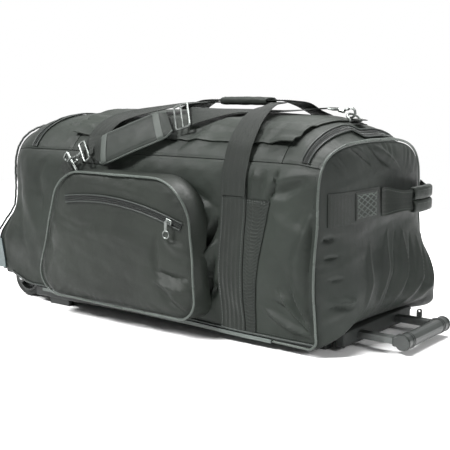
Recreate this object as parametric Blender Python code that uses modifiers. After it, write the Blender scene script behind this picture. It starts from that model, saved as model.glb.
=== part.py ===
"""Rolling duffel bag: sewn shell, hinged top lid, front pocket, webbing, wheels and a telescoping pull handle."""

import math

import bmesh
import bpy
from mathutils import Matrix, Vector

for old in list(bpy.data.objects):
    bpy.data.objects.remove(old, do_unlink=True)

GAP = 0.0004

# Shell
X_END = 0.375
SKIN = 0.003
SPRING_Z = 0.235
CORNER_Z = 0.356
FLOOR_Z = ((-0.375, 0.0335), (-0.28, 0.0335), (-0.05, 0.0270), (0.10, 0.0235), (0.25, 0.0195), (0.375, 0.0175))
FLOOR_RISE = 0.022
BULGE = 0.010
HALF_WIDTH = ((-0.375, 0.173), (-0.26, 0.176), (0.30, 0.176), (0.375, 0.173))
CROWN_Z = ((-0.375, 0.342), (-0.31, 0.366), (-0.18, 0.377), (0.12, 0.376), (0.27, 0.373), (0.335, 0.362), (0.375, 0.334))
CORNER_HEIGHT = ((-0.375, 0.334), (-0.29, CORNER_Z), (0.31, CORNER_Z), (0.375, 0.330))
POWER = ((-0.375, 3.4), (-0.28, 3.0), (0.30, 3.0), (0.375, 3.8))
WHEEL_END_TAPER = 0.26

# Seams, as positions round the section: 0 front floor, 1 front spring, 3 rear spring, 4 rear floor
SHOULDER_S = 1.285
LID_S = 1.61
LID_EDGE_S = 1.43
HINGE_S = 2.55
LID_X0 = -0.178
LID_X1 = 0.300
LID_OVERHANG = 0.012
LID_LOW = 0.0030
LID_HIGH = 0.0080
LID_SKIN = 0.0025
ZIP_S0 = 1.575
ZIP_S1 = 1.605

# Base
TRAY_Z0 = 0.0125
TRAY_Z1 = 0.0315
TRAY_HALF = 0.1695
TRAY_X0 = -0.2840
TRAY_TONGUE_X0 = -0.3720
TRAY_TONGUE_HALF = 0.1000
TRAY_X1 = 0.3740
RAIL_X0 = -0.255
RAIL_X1 = 0.292
RAIL_IN = 0.1702
RAIL_OUT = 0.1780
RAIL_H = 0.0062
RAIL_GAP = 0.0014

# Wheels
WHEEL_X = -0.330
WHEEL_Y = 0.135
WHEEL_R = 0.040
WHEEL_W = 0.030
RIM_R = 0.030
AXLE_R = 0.004
HOUSING_X0 = -0.3742
HOUSING_X1 = -0.2862
HOUSING_Y0 = 0.1012
HOUSING_Y1 = 0.1690
HOUSING_Z0 = 0.0470
HOUSING_Z1 = 0.0880
HOUSING_WALL = 0.0020

# Pull handle
ARM_Y = 0.067
ARM_Z = 0.0210
ARM_W = 0.0180
ARM_H = 0.0104
TUBE_W = 0.0220
TUBE_H = 0.0144
TUBE_WALL = 0.0014
TUBE_X0 = -0.170
ARM_X0 = -0.060
GRIP_X = 0.478
GRIP_HALF = 0.080
GRIP_R = 0.0125
BEZEL_X0 = 0.3795
BEZEL_X1 = 0.3960

# Webbing
WEB = 0.0016
WEB_WIDTH = 0.052
WEB_RIGHT_X = 0.215
WEB_LEFT_X = -0.118
WRAP_X0 = 0.066
WRAP_X1 = 0.168
WRAP_Z0 = 0.3920
WRAP_Z1 = 0.4068
END_WEB_Z = 0.235

# Pocket
POCKET_CORNERS = ((-0.222, 0.040, 0.045), (0.167, 0.036, 0.034), (0.150, 0.272, 0.085), (-0.153, 0.272, 0.070))
POCKET_DEPTH = 0.034
POCKET_ZIP_R = 0.55
POCKET_ZIP_X = -0.050
POCKET_ZIP_TOP = 0.229


def ease(t):
    t = min(max(t, 0.0), 1.0)
    return t * t * (3.0 - 2.0 * t)


def along(x, stations):
    if x <= stations[0][0]:
        return stations[0][1]
    for (x0, v0), (x1, v1) in zip(stations, stations[1:]):
        if x <= x1:
            return v0 + (v1 - v0) * ease((x - x0) / (x1 - x0))
    return stations[-1][1]


def floor_at(x):
    """Height of the side panels' bottom edge."""
    return along(x, FLOOR_Z) + FLOOR_RISE * (1.0 - ease((x + X_END) / 0.09))


ARCH_STEPS = 160
arch_cache = {}


def arch(x):
    """Points of the arch from the front spring line over the top to the rear one, with the length run at each."""
    key = round(x, 6)
    if key not in arch_cache:
        w, crown, corner, power = (along(x, table) for table in (HALF_WIDTH, CROWN_Z, CORNER_HEIGHT, POWER))
        points = []
        for i in range(ARCH_STEPS + 1):
            turn = math.pi * i / ARCH_STEPS
            c, s = math.cos(turn), math.sin(turn)
            y = -w * math.copysign(abs(c) ** (2.0 / power), c)
            z = SPRING_Z + (corner - SPRING_Z) * abs(s) ** (2.0 / power)
            z += (crown - corner) * (1.0 - (y / w) ** 2) ** 2
            points.append((y, z))
        run = [0.0]
        for (y0, z0), (y1, z1) in zip(points, points[1:]):
            run.append(run[-1] + math.hypot(y1 - y0, z1 - z0))
        arch_cache[key] = (points, run)
    return arch_cache[key]


def body_point(x, s):
    """A point of the shell's outer face: x along the bag, s round the section."""
    if 1.0 < s < 3.0:
        points, run = arch(x)
        target = run[-1] * (s - 1.0) / 2.0
        i = 1
        while run[i] < target:
            i += 1
        t = (target - run[i - 1]) / (run[i] - run[i - 1])
        y = points[i - 1][0] + (points[i][0] - points[i - 1][0]) * t
        z = points[i - 1][1] + (points[i][1] - points[i - 1][1]) * t
    else:
        side = -1.0 if s <= 1.0 else 1.0
        k = s if s <= 1.0 else 4.0 - s
        floor = floor_at(x)
        z = floor + (SPRING_Z - floor) * k
        y = side * (along(x, HALF_WIDTH) + BULGE * math.sin(math.pi * k) ** 2)
    narrow = max(0.0, (-0.25 - x) / 0.125)
    y *= 1.0 - WHEEL_END_TAPER * narrow ** 3 * ease((z - 0.115) / 0.075)
    return Vector((x, y, z))


def body_normal(x, s):
    d = 0.004
    x0, x1 = max(x - d, -X_END), min(x + d, X_END)
    s0, s1 = max(s - 0.02, 0.0), min(s + 0.02, 4.0)
    across = body_point(x1, s) - body_point(x0, s)
    round_ = body_point(x, s1) - body_point(x, s0)
    return across.cross(round_).normalized()


def lift(x, s, offset):
    return body_point(x, s) + body_normal(x, s) * offset


def spread(a, b, n):
    return [a + (b - a) * i / (n - 1) for i in range(n)]


collection = bpy.data.collections.new("rolling_duffel")
bpy.context.scene.collection.children.link(collection)
root = bpy.data.objects.new("bag_root", None)
collection.objects.link(root)
materials = {}


def material(name, colour, rough, metallic=0.0):
    if name not in materials:
        made = bpy.data.materials.new(name)
        made.use_nodes = True
        shader = made.node_tree.nodes["Principled BSDF"]
        shader.inputs["Base Color"].default_value = (*colour, 1.0)
        shader.inputs["Roughness"].default_value = rough
        shader.inputs["Metallic"].default_value = metallic
        materials[name] = made
    return materials[name]


NYLON = ("nylon", (0.075, 0.080, 0.078), 0.62)
WEBBING = ("webbing", (0.055, 0.058, 0.056), 0.80)
PIPING = ("piping", (0.16, 0.17, 0.165), 0.50)
ZIP = ("zip_tape", (0.06, 0.065, 0.06), 0.60)
PLASTIC = ("matte_plastic", (0.045, 0.048, 0.047), 0.50)
GLOSSY = ("guard_plastic", (0.12, 0.14, 0.14), 0.25)
RUBBER = ("tyre_rubber", (0.05, 0.05, 0.05), 0.85)
METAL = ("dark_chrome", (0.45, 0.46, 0.46), 0.28, 1.0)
ALLOY = ("grey_alloy", (0.24, 0.25, 0.25), 0.42, 1.0)
STEEL = ("axle_steel", (0.55, 0.55, 0.55), 0.35, 1.0)
PAD = ("padded_cover", (0.085, 0.090, 0.088), 0.72)


def add(name, mesh, look, origin=(0, 0, 0), smooth=True):
    """Puts a mesh given in bag coordinates into the scene, with its origin moved to the given point."""
    origin = Vector(origin)
    mesh.transform(Matrix.Translation(-origin))
    mesh.materials.clear()
    mesh.materials.append(material(look[0] + "_" + name, *look[1:]))
    for face in mesh.polygons:
        face.use_smooth = smooth
    mesh.name = name
    obj = bpy.data.objects.new(name, mesh)
    obj.location = origin
    obj.parent = root
    collection.objects.link(obj)
    return obj


def to_mesh(bm):
    bmesh.ops.recalc_face_normals(bm, faces=bm.faces)
    mesh = bpy.data.meshes.new("shape")
    bm.to_mesh(mesh)
    bm.free()
    return mesh


def grid_body(outer, inner, closed=False):
    """One closed body between two grids of points (rows by columns); closed joins the last column to the first."""
    bm = bmesh.new()
    rows, columns = len(outer), len(outer[0])
    top = [[bm.verts.new(p) for p in row] for row in outer]
    low = [[bm.verts.new(p) for p in row] for row in inner]
    last = columns if closed else columns - 1
    for i in range(rows - 1):
        for j in range(last):
            k = (j + 1) % columns
            bm.faces.new((top[i][j], top[i + 1][j], top[i + 1][k], top[i][k]))
            bm.faces.new((low[i][j], low[i][k], low[i + 1][k], low[i + 1][j]))
    for j in range(last):
        k = (j + 1) % columns
        bm.faces.new((top[0][j], top[0][k], low[0][k], low[0][j]))
        bm.faces.new((top[-1][j], low[-1][j], low[-1][k], top[-1][k]))
    if not closed:
        for i in range(rows - 1):
            bm.faces.new((top[i][0], low[i][0], low[i + 1][0], top[i + 1][0]))
            bm.faces.new((top[i][-1], top[i + 1][-1], low[i + 1][-1], low[i][-1]))
    return to_mesh(bm)


def shell(xs, ss, low, high):
    """A layer over the shell between two offsets, each a number or a function of (x, s)."""
    low_at = low if callable(low) else lambda x, s: low
    high_at = high if callable(high) else lambda x, s: high
    outer = [[lift(x, s, high_at(x, s)) for s in ss] for x in xs]
    inner = [[lift(x, s, low_at(x, s)) for s in ss] for x in xs]
    return grid_body(outer, inner)


def rounded(values, steps):
    """Catmull-Rom through a list of vectors."""
    out = []
    for i in range(len(values) - 1):
        p0 = values[max(i - 1, 0)]
        p1, p2 = values[i], values[i + 1]
        p3 = values[min(i + 2, len(values) - 1)]
        for k in range(steps):
            t = k / steps
            out.append(0.5 * (2 * p1 + (p2 - p0) * t + (2 * p0 - 5 * p1 + 4 * p2 - p3) * t * t
                              + (3 * p1 - p0 - 3 * p2 + p3) * t ** 3))
    out.append(values[-1].copy())
    return out


def ribbon(points, normals, widths, thickness):
    """A flat strip along points, its broad face along the normals."""
    bm = bmesh.new()
    rings = []
    for i, point in enumerate(points):
        tangent = (points[min(i + 1, len(points) - 1)] - points[max(i - 1, 0)]).normalized()
        side = normals[i].cross(tangent).normalized()
        up = tangent.cross(side).normalized()
        half = side * widths[i] / 2
        rise = up * thickness / 2
        corners = (point - half - rise, point + half - rise, point + half + rise, point - half + rise)
        rings.append([bm.verts.new(c) for c in corners])
    for a, b in zip(rings, rings[1:]):
        for j in range(4):
            k = (j + 1) % 4
            bm.faces.new((a[j], a[k], b[k], b[j]))
    bm.faces.new(rings[0])
    bm.faces.new(reversed(rings[-1]))
    return to_mesh(bm)


def surface_ribbon(path, thickness, steps=5):
    """A strip whose path is given as (x, s, offset of its underside, width) or (point, normal, width)."""
    points, normals, widths = [], [], []
    for item in path:
        if len(item) == 4:
            x, s, offset, width = item
            points.append(lift(x, s, offset + thickness / 2))
            normals.append(body_normal(x, s))
        else:
            points.append(Vector(item[0]))
            normals.append(Vector(item[1]))
            width = item[2]
        widths.append(Vector((width, 0, 0)))
    return ribbon(rounded(points, steps), rounded(normals, steps), [w.x for w in rounded(widths, steps)], thickness)


def rod(points, radius, closed=False):
    """A round rod along a polyline, as a welded mesh."""
    curve = bpy.data.curves.new("path", "CURVE")
    curve.dimensions = "3D"
    curve.bevel_depth = radius
    curve.bevel_resolution = 1
    curve.use_fill_caps = not closed
    spline = curve.splines.new("POLY")
    spline.points.add(len(points) - 1)
    for knot, point in zip(spline.points, points):
        knot.co = (*point, 1.0)
    spline.use_cyclic_u = closed
    return from_object(bpy.data.objects.new("path", curve))


def from_object(obj):
    """The evaluated mesh of a loose object, welded; the object is removed."""
    bpy.context.scene.collection.objects.link(obj)
    bpy.context.view_layer.update()
    graph = bpy.context.evaluated_depsgraph_get()
    mesh = bpy.data.meshes.new_from_object(obj.evaluated_get(graph))
    mesh.transform(obj.matrix_world)
    bpy.data.objects.remove(obj, do_unlink=True)
    bm = bmesh.new()
    bm.from_mesh(mesh)
    bmesh.ops.remove_doubles(bm, verts=bm.verts, dist=0.00001)
    return to_mesh(bm)


def block(low, high, bevel=0.0, segments=2):
    low, high = Vector(low), Vector(high)
    bm = bmesh.new()
    bmesh.ops.create_cube(bm, size=1.0)
    size = high - low
    bmesh.ops.scale(bm, vec=size, verts=bm.verts)
    bmesh.ops.translate(bm, vec=(low + high) / 2, verts=bm.verts)
    if bevel:
        bmesh.ops.bevel(bm, geom=list(bm.edges), offset=bevel, segments=segments, profile=0.5, affect="EDGES")
    return to_mesh(bm)


def extruded(outline, place, bevel=0.0):
    """A prism: outline in 2D, place(u, v, side) gives the 3D point on side 0 or 1."""
    bm = bmesh.new()
    ends = [[bm.verts.new(place(u, v, side)) for u, v in outline] for side in (0, 1)]
    bm.faces.new(ends[0])
    bm.faces.new(reversed(ends[1]))
    n = len(outline)
    for i in range(n):
        bm.faces.new((ends[0][i], ends[1][i], ends[1][(i + 1) % n], ends[0][(i + 1) % n]))
    if bevel:
        bmesh.ops.recalc_face_normals(bm, faces=bm.faces)
        bmesh.ops.bevel(bm, geom=list(bm.edges), offset=bevel, segments=1, affect="EDGES")
    return to_mesh(bm)


def disc(radius, y0, y1, x, z, segments=32):
    """A cylinder along Y."""
    bm = bmesh.new()
    bmesh.ops.create_cone(bm, cap_ends=True, segments=segments, radius1=radius, radius2=radius, depth=abs(y1 - y0))
    bmesh.ops.rotate(bm, verts=bm.verts, matrix=Matrix.Rotation(math.pi / 2, 3, "X"))
    bmesh.ops.translate(bm, verts=bm.verts, vec=(x, (y0 + y1) / 2, z))
    return to_mesh(bm)


def combine(mesh, others, operation):
    """Boolean of one mesh with others, one after another."""
    for other in others:
        target = bpy.data.objects.new("target", mesh)
        cutter = bpy.data.objects.new("cutter", other)
        bpy.context.scene.collection.objects.link(cutter)
        change = target.modifiers.new("combine", "BOOLEAN")
        change.operation = operation
        change.solver = "EXACT"
        change.object = cutter
        mesh = from_object(target)
        bpy.data.objects.remove(cutter, do_unlink=True)
    return mesh


def turned(profile, steps, centre):
    """A ring turned about the Y axis through centre, from a closed profile of (radius, y)."""
    mesh = bpy.data.meshes.new("profile")
    n = len(profile)
    mesh.from_pydata([(r, 0.0, -y) for r, y in profile], [(i, (i + 1) % n) for i in range(n)], [])
    obj = bpy.data.objects.new("profile", mesh)
    turn = obj.modifiers.new("turn", "SCREW")
    turn.axis = "Z"
    turn.steps = steps
    turn.render_steps = steps
    turn.use_merge_vertices = True
    turn.merge_threshold = 0.0001
    obj.matrix_world = Matrix.Translation(Vector(centre)) @ Matrix.Rotation(math.pi / 2, 4, "X")
    return from_object(obj)


def fillet_outline(corners, steps=6):
    """A closed outline from corners (u, v, radius), each rounded."""
    out = []
    n = len(corners)
    for i in range(n):
        before, here, after = (Vector(corners[k % n][:2]) for k in (i - 1, i, i + 1))
        radius = corners[i][2]
        a, b = (before - here).normalized(), (after - here).normalized()
        half = a.angle(b) / 2
        reach = radius / math.tan(half)
        centre = here + (a + b).normalized() * radius / math.sin(half)
        start, end = here + a * reach - centre, here + b * reach - centre
        sweep = start.angle_signed(end)
        for k in range(steps + 1):
            turn = Matrix.Rotation(-sweep * k / steps, 2)
            out.append(tuple(centre + turn @ start))
    return out


# ---------------------------------------------------------------- shell panels
EDGE = 0.0006
XS = sorted(spread(-X_END, X_END, 25) + [-0.359, -0.328, -0.294, -0.276, 0.3505, 0.3615])
FRONT_SS = spread(0.0, SHOULDER_S - 0.003, 11)
REAR_SS = spread(HINGE_S + 0.010, 4.0, 14)
add("front_panel", shell(XS, FRONT_SS, -SKIN, 0.0), NYLON)
add("rear_panel", shell(XS, REAR_SS, -SKIN, 0.0), NYLON)
shoulder_xs = [LID_X0 + EDGE, *[x for x in XS if LID_X0 + 0.01 < x < LID_X1 - 0.01], LID_X1 - EDGE]
add("front_shoulder", shell(shoulder_xs, spread(SHOULDER_S + 0.003, LID_S, 5), -SKIN, 0.0), NYLON)
arch_ss = spread(SHOULDER_S + 0.003, HINGE_S + 0.004, 17)
add("handle_end_top", shell([LID_X1 + EDGE, *[x for x in XS if x > LID_X1 + 0.01]], arch_ss, -SKIN, 0.0), NYLON)
add("wheel_end_top", shell([*[x for x in XS if x < LID_X0 - 0.003], LID_X0 - EDGE], arch_ss, -SKIN, 0.0), NYLON)

lid_ss = [LID_EDGE_S, 1.47, 1.51, 1.545, 1.58, 1.605, 1.64, 1.69] + spread(1.78, HINGE_S, 9)


def lid_low(x, s):
    """The lid lies close to the shell, and stands off where it covers the zip."""
    return LID_LOW + (LID_HIGH - LID_LOW) * ease((s - 1.48) / 0.07) * ease((1.71 - s) / 0.10)


def lid_high(x, s):
    return lid_low(x, s) + LID_SKIN


hinge = lift(0.0, HINGE_S, LID_LOW + LID_SKIN / 2)
lid_xs = [LID_X0 - LID_OVERHANG, *[x for x in XS if LID_X0 < x < LID_X1], LID_X1 + LID_OVERHANG]
add("lid_panel", shell(lid_xs, lid_ss, lid_low, lid_high), NYLON, hinge)


BEZEL_CLEAR_Z = 0.0340


def end_outline(x):
    """The rim of an end panel in (y, z), running round the section and back along the floor."""
    ring = [body_point(x, s) for s in spread(0.0, 4.0, 33)]
    last, first = ring[-1], ring[0]
    for k in range(1, 6):
        under = last.lerp(first, k / 6)
        under.z = max(under.z, BEZEL_CLEAR_Z)
        ring.append(under)
    return [(p.y, p.z) for p in ring]


END_CENTRE = (0.0, 0.165)
outlines = {1: end_outline(X_END), -1: end_outline(-X_END)}


def rim_share(y, z, side):
    """How far a point of the end panel is from its centre towards the rim: 0 to 1."""
    dy, dz = y - END_CENTRE[0], z - END_CENTRE[1]
    if math.hypot(dy, dz) < 1e-9:
        return 0.0
    best = 0.0
    ring = outlines[side]
    for (y0, z0), (y1, z1) in zip(ring, ring[1:] + ring[:1]):
        ay, az, by, bz = y0 - END_CENTRE[0], z0 - END_CENTRE[1], y1 - y0, z1 - z0
        det = -dy * bz + dz * by
        if abs(det) < 1e-12:
            continue
        t = (-ay * bz + az * by) / det
        u = (dy * az - dz * ay) / det
        if t > 0 and -1e-6 <= u <= 1 + 1e-6:
            best = max(best, 1.0 / t)
    return best


END_BULGE = {1: (0.016, 0.042), -1: (0.014, 0.024)}
BELLY = 0.022


def end_bulge(y, z, side):
    """The ends belly out low down, the handle end most on its far side."""
    high, low = END_BULGE[side]
    lowness = ease((0.20 - z) / 0.13)
    if side > 0:
        low += BELLY * ease((y + 0.06) / 0.16)
    amount = high + (low - high) * lowness
    power = 5.0 + (3.0 * lowness if side > 0 else 0.0)
    return amount * max(0.0, 1.0 - min(rim_share(y, z, side), 1.0) ** power)


def end_panel(side):
    x0 = side * (X_END + EDGE)
    rings_out, rings_in = [], []
    shares = (1.0, 0.96, 0.90, 0.80, 0.71, 0.60, 0.36, 0.10)
    for share in shares:
        ring = [(END_CENTRE[0] + (y - END_CENTRE[0]) * share, END_CENTRE[1] + (z - END_CENTRE[1]) * share)
                for y, z in outlines[side]]
        rings_in.append([Vector((x0 + side * end_bulge(y, z, side), y, z)) for y, z in ring])
        rings_out.append([Vector((x0 + side * (SKIN + end_bulge(y, z, side)), y, z)) for y, z in ring])
    bm = bmesh.new()
    n = len(rings_out[0])
    out = [[bm.verts.new(p) for p in ring] for ring in rings_out]
    low = [[bm.verts.new(p) for p in ring] for ring in rings_in]
    for sheet in (out, low):
        for a, b in zip(sheet, sheet[1:]):
            for j in range(n):
                bm.faces.new((a[j], a[(j + 1) % n], b[(j + 1) % n], b[j]))
        bm.faces.new(sheet[-1])
    for j in range(n):
        bm.faces.new((out[0][j], low[0][j], low[0][(j + 1) % n], out[0][(j + 1) % n]))
    return to_mesh(bm)


add("handle_end_panel", end_panel(1), NYLON)
add("wheel_end_panel", end_panel(-1), NYLON)

PIPE_R = 0.0032
PIPE_OUT = PIPE_R + GAP + 0.0006


def rim_path(side, stations):
    """The seam line of an end panel, stood off in the plane of its rim."""
    x = side * X_END
    path = []
    for s in stations:
        run = body_point(x, min(s + 0.02, 4.0)) - body_point(x, max(s - 0.02, 0.0))
        out = Vector((0, -run.z, run.y)).normalized()
        path.append(body_point(x, s) + out * (PIPE_OUT if side > 0 else PIPE_OUT + 0.0010) + Vector((side * 0.0020, 0, 0)))
    return path


RIM_STEP = 0.0625
PIPE_TURN = ((0.302, 0.1755, -0.0048), (0.330, 0.1758, -0.0048), (0.355, 0.1762, -0.0046), (0.370, 0.1768, -0.0034))
under_front = [Vector((x, -y, floor_at(x) + dz)) for x, y, dz in PIPE_TURN]
under_rear = [Vector((p.x, -p.y, p.z)) for p in reversed(under_front)]
end_ring = under_front + rim_path(1, [0.03, *[RIM_STEP * k for k in range(1, 64)], 3.97]) + under_rear
add("handle_end_piping", rod(end_ring, PIPE_R), PIPING)
GUARD_S = 0.36
add("wheel_end_piping", rod(rim_path(-1, [RIM_STEP * k for k in range(7, 58)]), PIPE_R), PIPING)
for label, s0, s1 in (("front", 0.02, GUARD_S), ("rear", 4.0 - GUARD_S, 3.98)):
    guard = []
    for s in spread(s0, s1, 8):
        guard.append((lift(-X_END, s, GAP + 0.0018) + Vector((-0.003, 0, 0)), body_normal(-X_END, s), 0.022))
    add("corner_guard_" + label, surface_ribbon(guard, 0.0026, 2), GLOSSY)

# ---------------------------------------------------------------- base tray, rails
tray = [(TRAY_X1, -TRAY_HALF), (TRAY_X1, TRAY_HALF), (TRAY_X0, TRAY_HALF), (TRAY_X0, TRAY_TONGUE_HALF),
        (TRAY_TONGUE_X0, TRAY_TONGUE_HALF), (TRAY_TONGUE_X0, -TRAY_TONGUE_HALF), (TRAY_X0, -TRAY_TONGUE_HALF),
        (TRAY_X0, -TRAY_HALF)]
tray_mesh = extruded(tray, lambda u, v, side: Vector((u, v, (TRAY_Z0, TRAY_Z1)[side])), 0.0015)
slots = []
for side in (-1, 1):
    y = side * ARM_Y
    slots.append(block((TRAY_X1 - 0.010, y - TUBE_W / 2 - GAP, ARM_Z - TUBE_H / 2 - GAP),
                       (TRAY_X1 + 0.01, y + TUBE_W / 2 + GAP, ARM_Z + TUBE_H / 2 + GAP)))
brace_x0, brace_x1 = -0.165, -0.140
TRAY_WALL = 0.0025
TRAY_SKIN = 0.0010
cavity = (TRAY_Z0 + TRAY_SKIN, TRAY_Z1 - TRAY_WALL)
slots.append(block((TRAY_X0 + TRAY_WALL, -TRAY_HALF + TRAY_WALL, cavity[0]),
                   (TRAY_X1 - TRAY_WALL, TRAY_HALF - TRAY_WALL, cavity[1])))
slots.append(block((TRAY_TONGUE_X0 + TRAY_WALL, -TRAY_TONGUE_HALF + TRAY_WALL, cavity[0]),
                   (TRAY_X0 + 2 * TRAY_WALL, TRAY_TONGUE_HALF - TRAY_WALL, cavity[1])))
feet = []
for side in (-1, 1):
    for x0, x1, y, half in ((-0.247, -0.193, 0.160, 0.0065), (0.318, 0.364, 0.112, 0.0110)):
        feet.append(block((x0, side * y - half, 0.0), (x1, side * y + half, TRAY_Z0 + TRAY_SKIN * 0.8), 0.0012, 1))
tray_mesh = combine(tray_mesh, feet, "UNION")
add("base_tray", combine(tray_mesh, slots, "DIFFERENCE"), PLASTIC, smooth=False)

for label, side in (("front", -1), ("rear", 1)):
    outside, inside = [], []
    for x in spread(RAIL_X0, RAIL_X1, 24):
        top = floor_at(x) - RAIL_GAP
        outside.append([Vector((x, side * RAIL_OUT, top)), Vector((x, side * RAIL_OUT, top - RAIL_H))])
        inside.append([Vector((x, side * RAIL_IN, top)), Vector((x, side * RAIL_IN, top - RAIL_H))])
    add("skid_rail_" + label, grid_body(outside, inside), PLASTIC, smooth=False)

# ---------------------------------------------------------------- pull handle
def tube_ring(x0, x1, y, width, height, wall):
    outer = block((x0, y - width / 2, ARM_Z - height / 2), (x1, y + width / 2, ARM_Z + height / 2))
    inner = block((x0 - 0.01, y - width / 2 + wall, ARM_Z - height / 2 + wall),
                  (x1 + 0.01, y + width / 2 - wall, ARM_Z + height / 2 - wall))
    return combine(outer, [inner], "DIFFERENCE")


bars = [block((TUBE_X0, side * ARM_Y - TUBE_W / 2, ARM_Z - TUBE_H / 2),
              (TRAY_X1, side * ARM_Y + TUBE_W / 2, ARM_Z + TUBE_H / 2)) for side in (-1, 1)]
brace = block((brace_x0, -ARM_Y, ARM_Z - TUBE_H / 2 + 0.0007), (brace_x1, ARM_Y, ARM_Z + TUBE_H / 2 - 0.0007))
bores = [block((brace_x1 + 0.010, side * ARM_Y - TUBE_W / 2 + TUBE_WALL, ARM_Z - TUBE_H / 2 + TUBE_WALL),
               (TRAY_X1 + 0.01, side * ARM_Y + TUBE_W / 2 - TUBE_WALL, ARM_Z + TUBE_H / 2 - TUBE_WALL))
         for side in (-1, 1)]
frame_mesh = combine(combine(bars[0], [brace, bars[1]], "UNION"), bores, "DIFFERENCE")
add("handle_frame", frame_mesh, ALLOY, smooth=False)

REST = (GRIP_X, 0.0, ARM_Z)
socket_x = GRIP_X - GRIP_R - 0.006
for label, side in (("front", -1), ("rear", 1)):
    y = side * ARM_Y
    arm = tube_ring(ARM_X0, socket_x + 0.005, y, ARM_W, ARM_H, 0.0013)
    add("arm_" + label, arm, ALLOY, (ARM_X0, y, ARM_Z), smooth=False)

bezel = block((BEZEL_X0, -0.120, 0.0080), (BEZEL_X1, 0.120, 0.0325), 0.0025)
clear = 0.0006
holes = [block((BEZEL_X0 - 0.01, side * ARM_Y - ARM_W / 2 - clear, ARM_Z - ARM_H / 2 - clear),
               (BEZEL_X1 + 0.01, side * ARM_Y + ARM_W / 2 + clear, ARM_Z + ARM_H / 2 + clear)) for side in (-1, 1)]
add("exit_bezel", combine(bezel, holes, "DIFFERENCE"), PLASTIC, smooth=False)

bar = disc(GRIP_R, -GRIP_HALF, GRIP_HALF, GRIP_X, ARM_Z, 20)
ribs = [disc(GRIP_R + 0.0010, side * y, side * (y + 0.0025), GRIP_X, ARM_Z, 20)
        for side in (-1, 1) for y in (0.0535, 0.0590, 0.0745)]
socket_blocks = [block((socket_x, side * ARM_Y - 0.0125, ARM_Z - 0.0085), (GRIP_X, side * ARM_Y + 0.0125, ARM_Z + 0.0085),
                       0.0030) for side in (-1, 1)]
grip = combine(bar, ribs + socket_blocks, "UNION")
pockets = [block((socket_x - 0.01, side * ARM_Y - ARM_W / 2 - GAP, ARM_Z - ARM_H / 2 - GAP),
                 (socket_x + 0.005 + GAP, side * ARM_Y + ARM_W / 2 + GAP, ARM_Z + ARM_H / 2 + GAP)) for side in (-1, 1)]
trigger_well = block((GRIP_X - 0.020, -0.0180 - GAP, ARM_Z - 0.0045 - GAP),
                     (GRIP_X - 0.0040, 0.0180 + GAP, ARM_Z + 0.0045 + GAP))
add("grip_bar", combine(grip, pockets + [trigger_well], "DIFFERENCE"), PLASTIC, REST, smooth=False)
trigger = block((GRIP_X - 0.0150, -0.0180, ARM_Z - 0.0045), (GRIP_X - 0.0080, 0.0180, ARM_Z + 0.0045), 0.0012)
add("release_trigger", trigger, PLASTIC, (GRIP_X - 0.0150, 0.0, ARM_Z), smooth=False)

# ---------------------------------------------------------------- wheels
TREAD = 0.0012
for label, side in (("front", -1), ("rear", 1)):
    y = side * WHEEL_Y
    centre = (WHEEL_X, y, WHEEL_R)
    half = WHEEL_W / 2
    tyre_profile = [(RIM_R, -half), (WHEEL_R - 0.003, -half), (WHEEL_R - TREAD, -half + 0.004), (WHEEL_R, -half + 0.0065),
                    (WHEEL_R, -0.0025), (WHEEL_R - TREAD, -0.0015), (WHEEL_R - TREAD, 0.0015), (WHEEL_R, 0.0025),
                    (WHEEL_R, half - 0.0065), (WHEEL_R - TREAD, half - 0.004), (WHEEL_R - 0.003, half), (RIM_R, half)]
    add("tyre_" + label, turned(tyre_profile, 28, centre), RUBBER, centre)
    rim = RIM_R - GAP
    bore = AXLE_R + GAP
    hub_profile = [(bore, -0.0165), (0.0090, -0.0165), (0.0090, -0.0040), (rim - 0.004, -0.0040), (rim - 0.004, -half),
                   (rim, -half), (rim, half), (rim - 0.004, half), (rim - 0.004, 0.0040), (0.0090, 0.0040),
                   (0.0090, 0.0165), (bore, 0.0165)]
    hub = turned(hub_profile, 28, centre)
    lightening = []
    for k in range(5):
        turn = math.tau * k / 5
        lightening.append(disc(0.0052, y - 0.006, y + 0.006, WHEEL_X + 0.0172 * math.cos(turn),
                               WHEEL_R + 0.0172 * math.sin(turn), 10))
    add("wheel_hub_" + label, combine(hub, lightening, "DIFFERENCE"), PLASTIC, centre, smooth=False)
    y_in, y_out = side * HOUSING_Y0, side * HOUSING_Y1
    lo, hi = sorted((y_in, y_out))
    case = block((HOUSING_X0, lo, HOUSING_Z0), (HOUSING_X1, hi, HOUSING_Z1), 0.004)
    hollow = block((HOUSING_X0 + HOUSING_WALL, lo + HOUSING_WALL, HOUSING_Z0 - 0.02),
                   (HOUSING_X1 - HOUSING_WALL, hi - HOUSING_WALL, HOUSING_Z1 - HOUSING_WALL))
    case = combine(case, [hollow], "DIFFERENCE")
    cheek = block((-0.350, min(y_in, y_in + side * HOUSING_WALL), 0.0140),
                  (-0.310, max(y_in, y_in + side * HOUSING_WALL), HOUSING_Z0 + 0.006))
    ear = disc(0.0110, y_out, y_out - side * HOUSING_WALL, WHEEL_X, WHEEL_R + 0.002, 24)
    case = combine(case, [cheek, ear], "UNION")
    drill = disc(AXLE_R + GAP, lo - 0.01, hi + 0.01, WHEEL_X, WHEEL_R, 20)
    add("wheel_housing_" + label, combine(case, [drill], "DIFFERENCE"), PLASTIC, smooth=False)
    add("axle_" + label, disc(AXLE_R, y_in + side * 0.0002, y_out - side * 0.0002, WHEEL_X, WHEEL_R, 20), STEEL)

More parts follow.
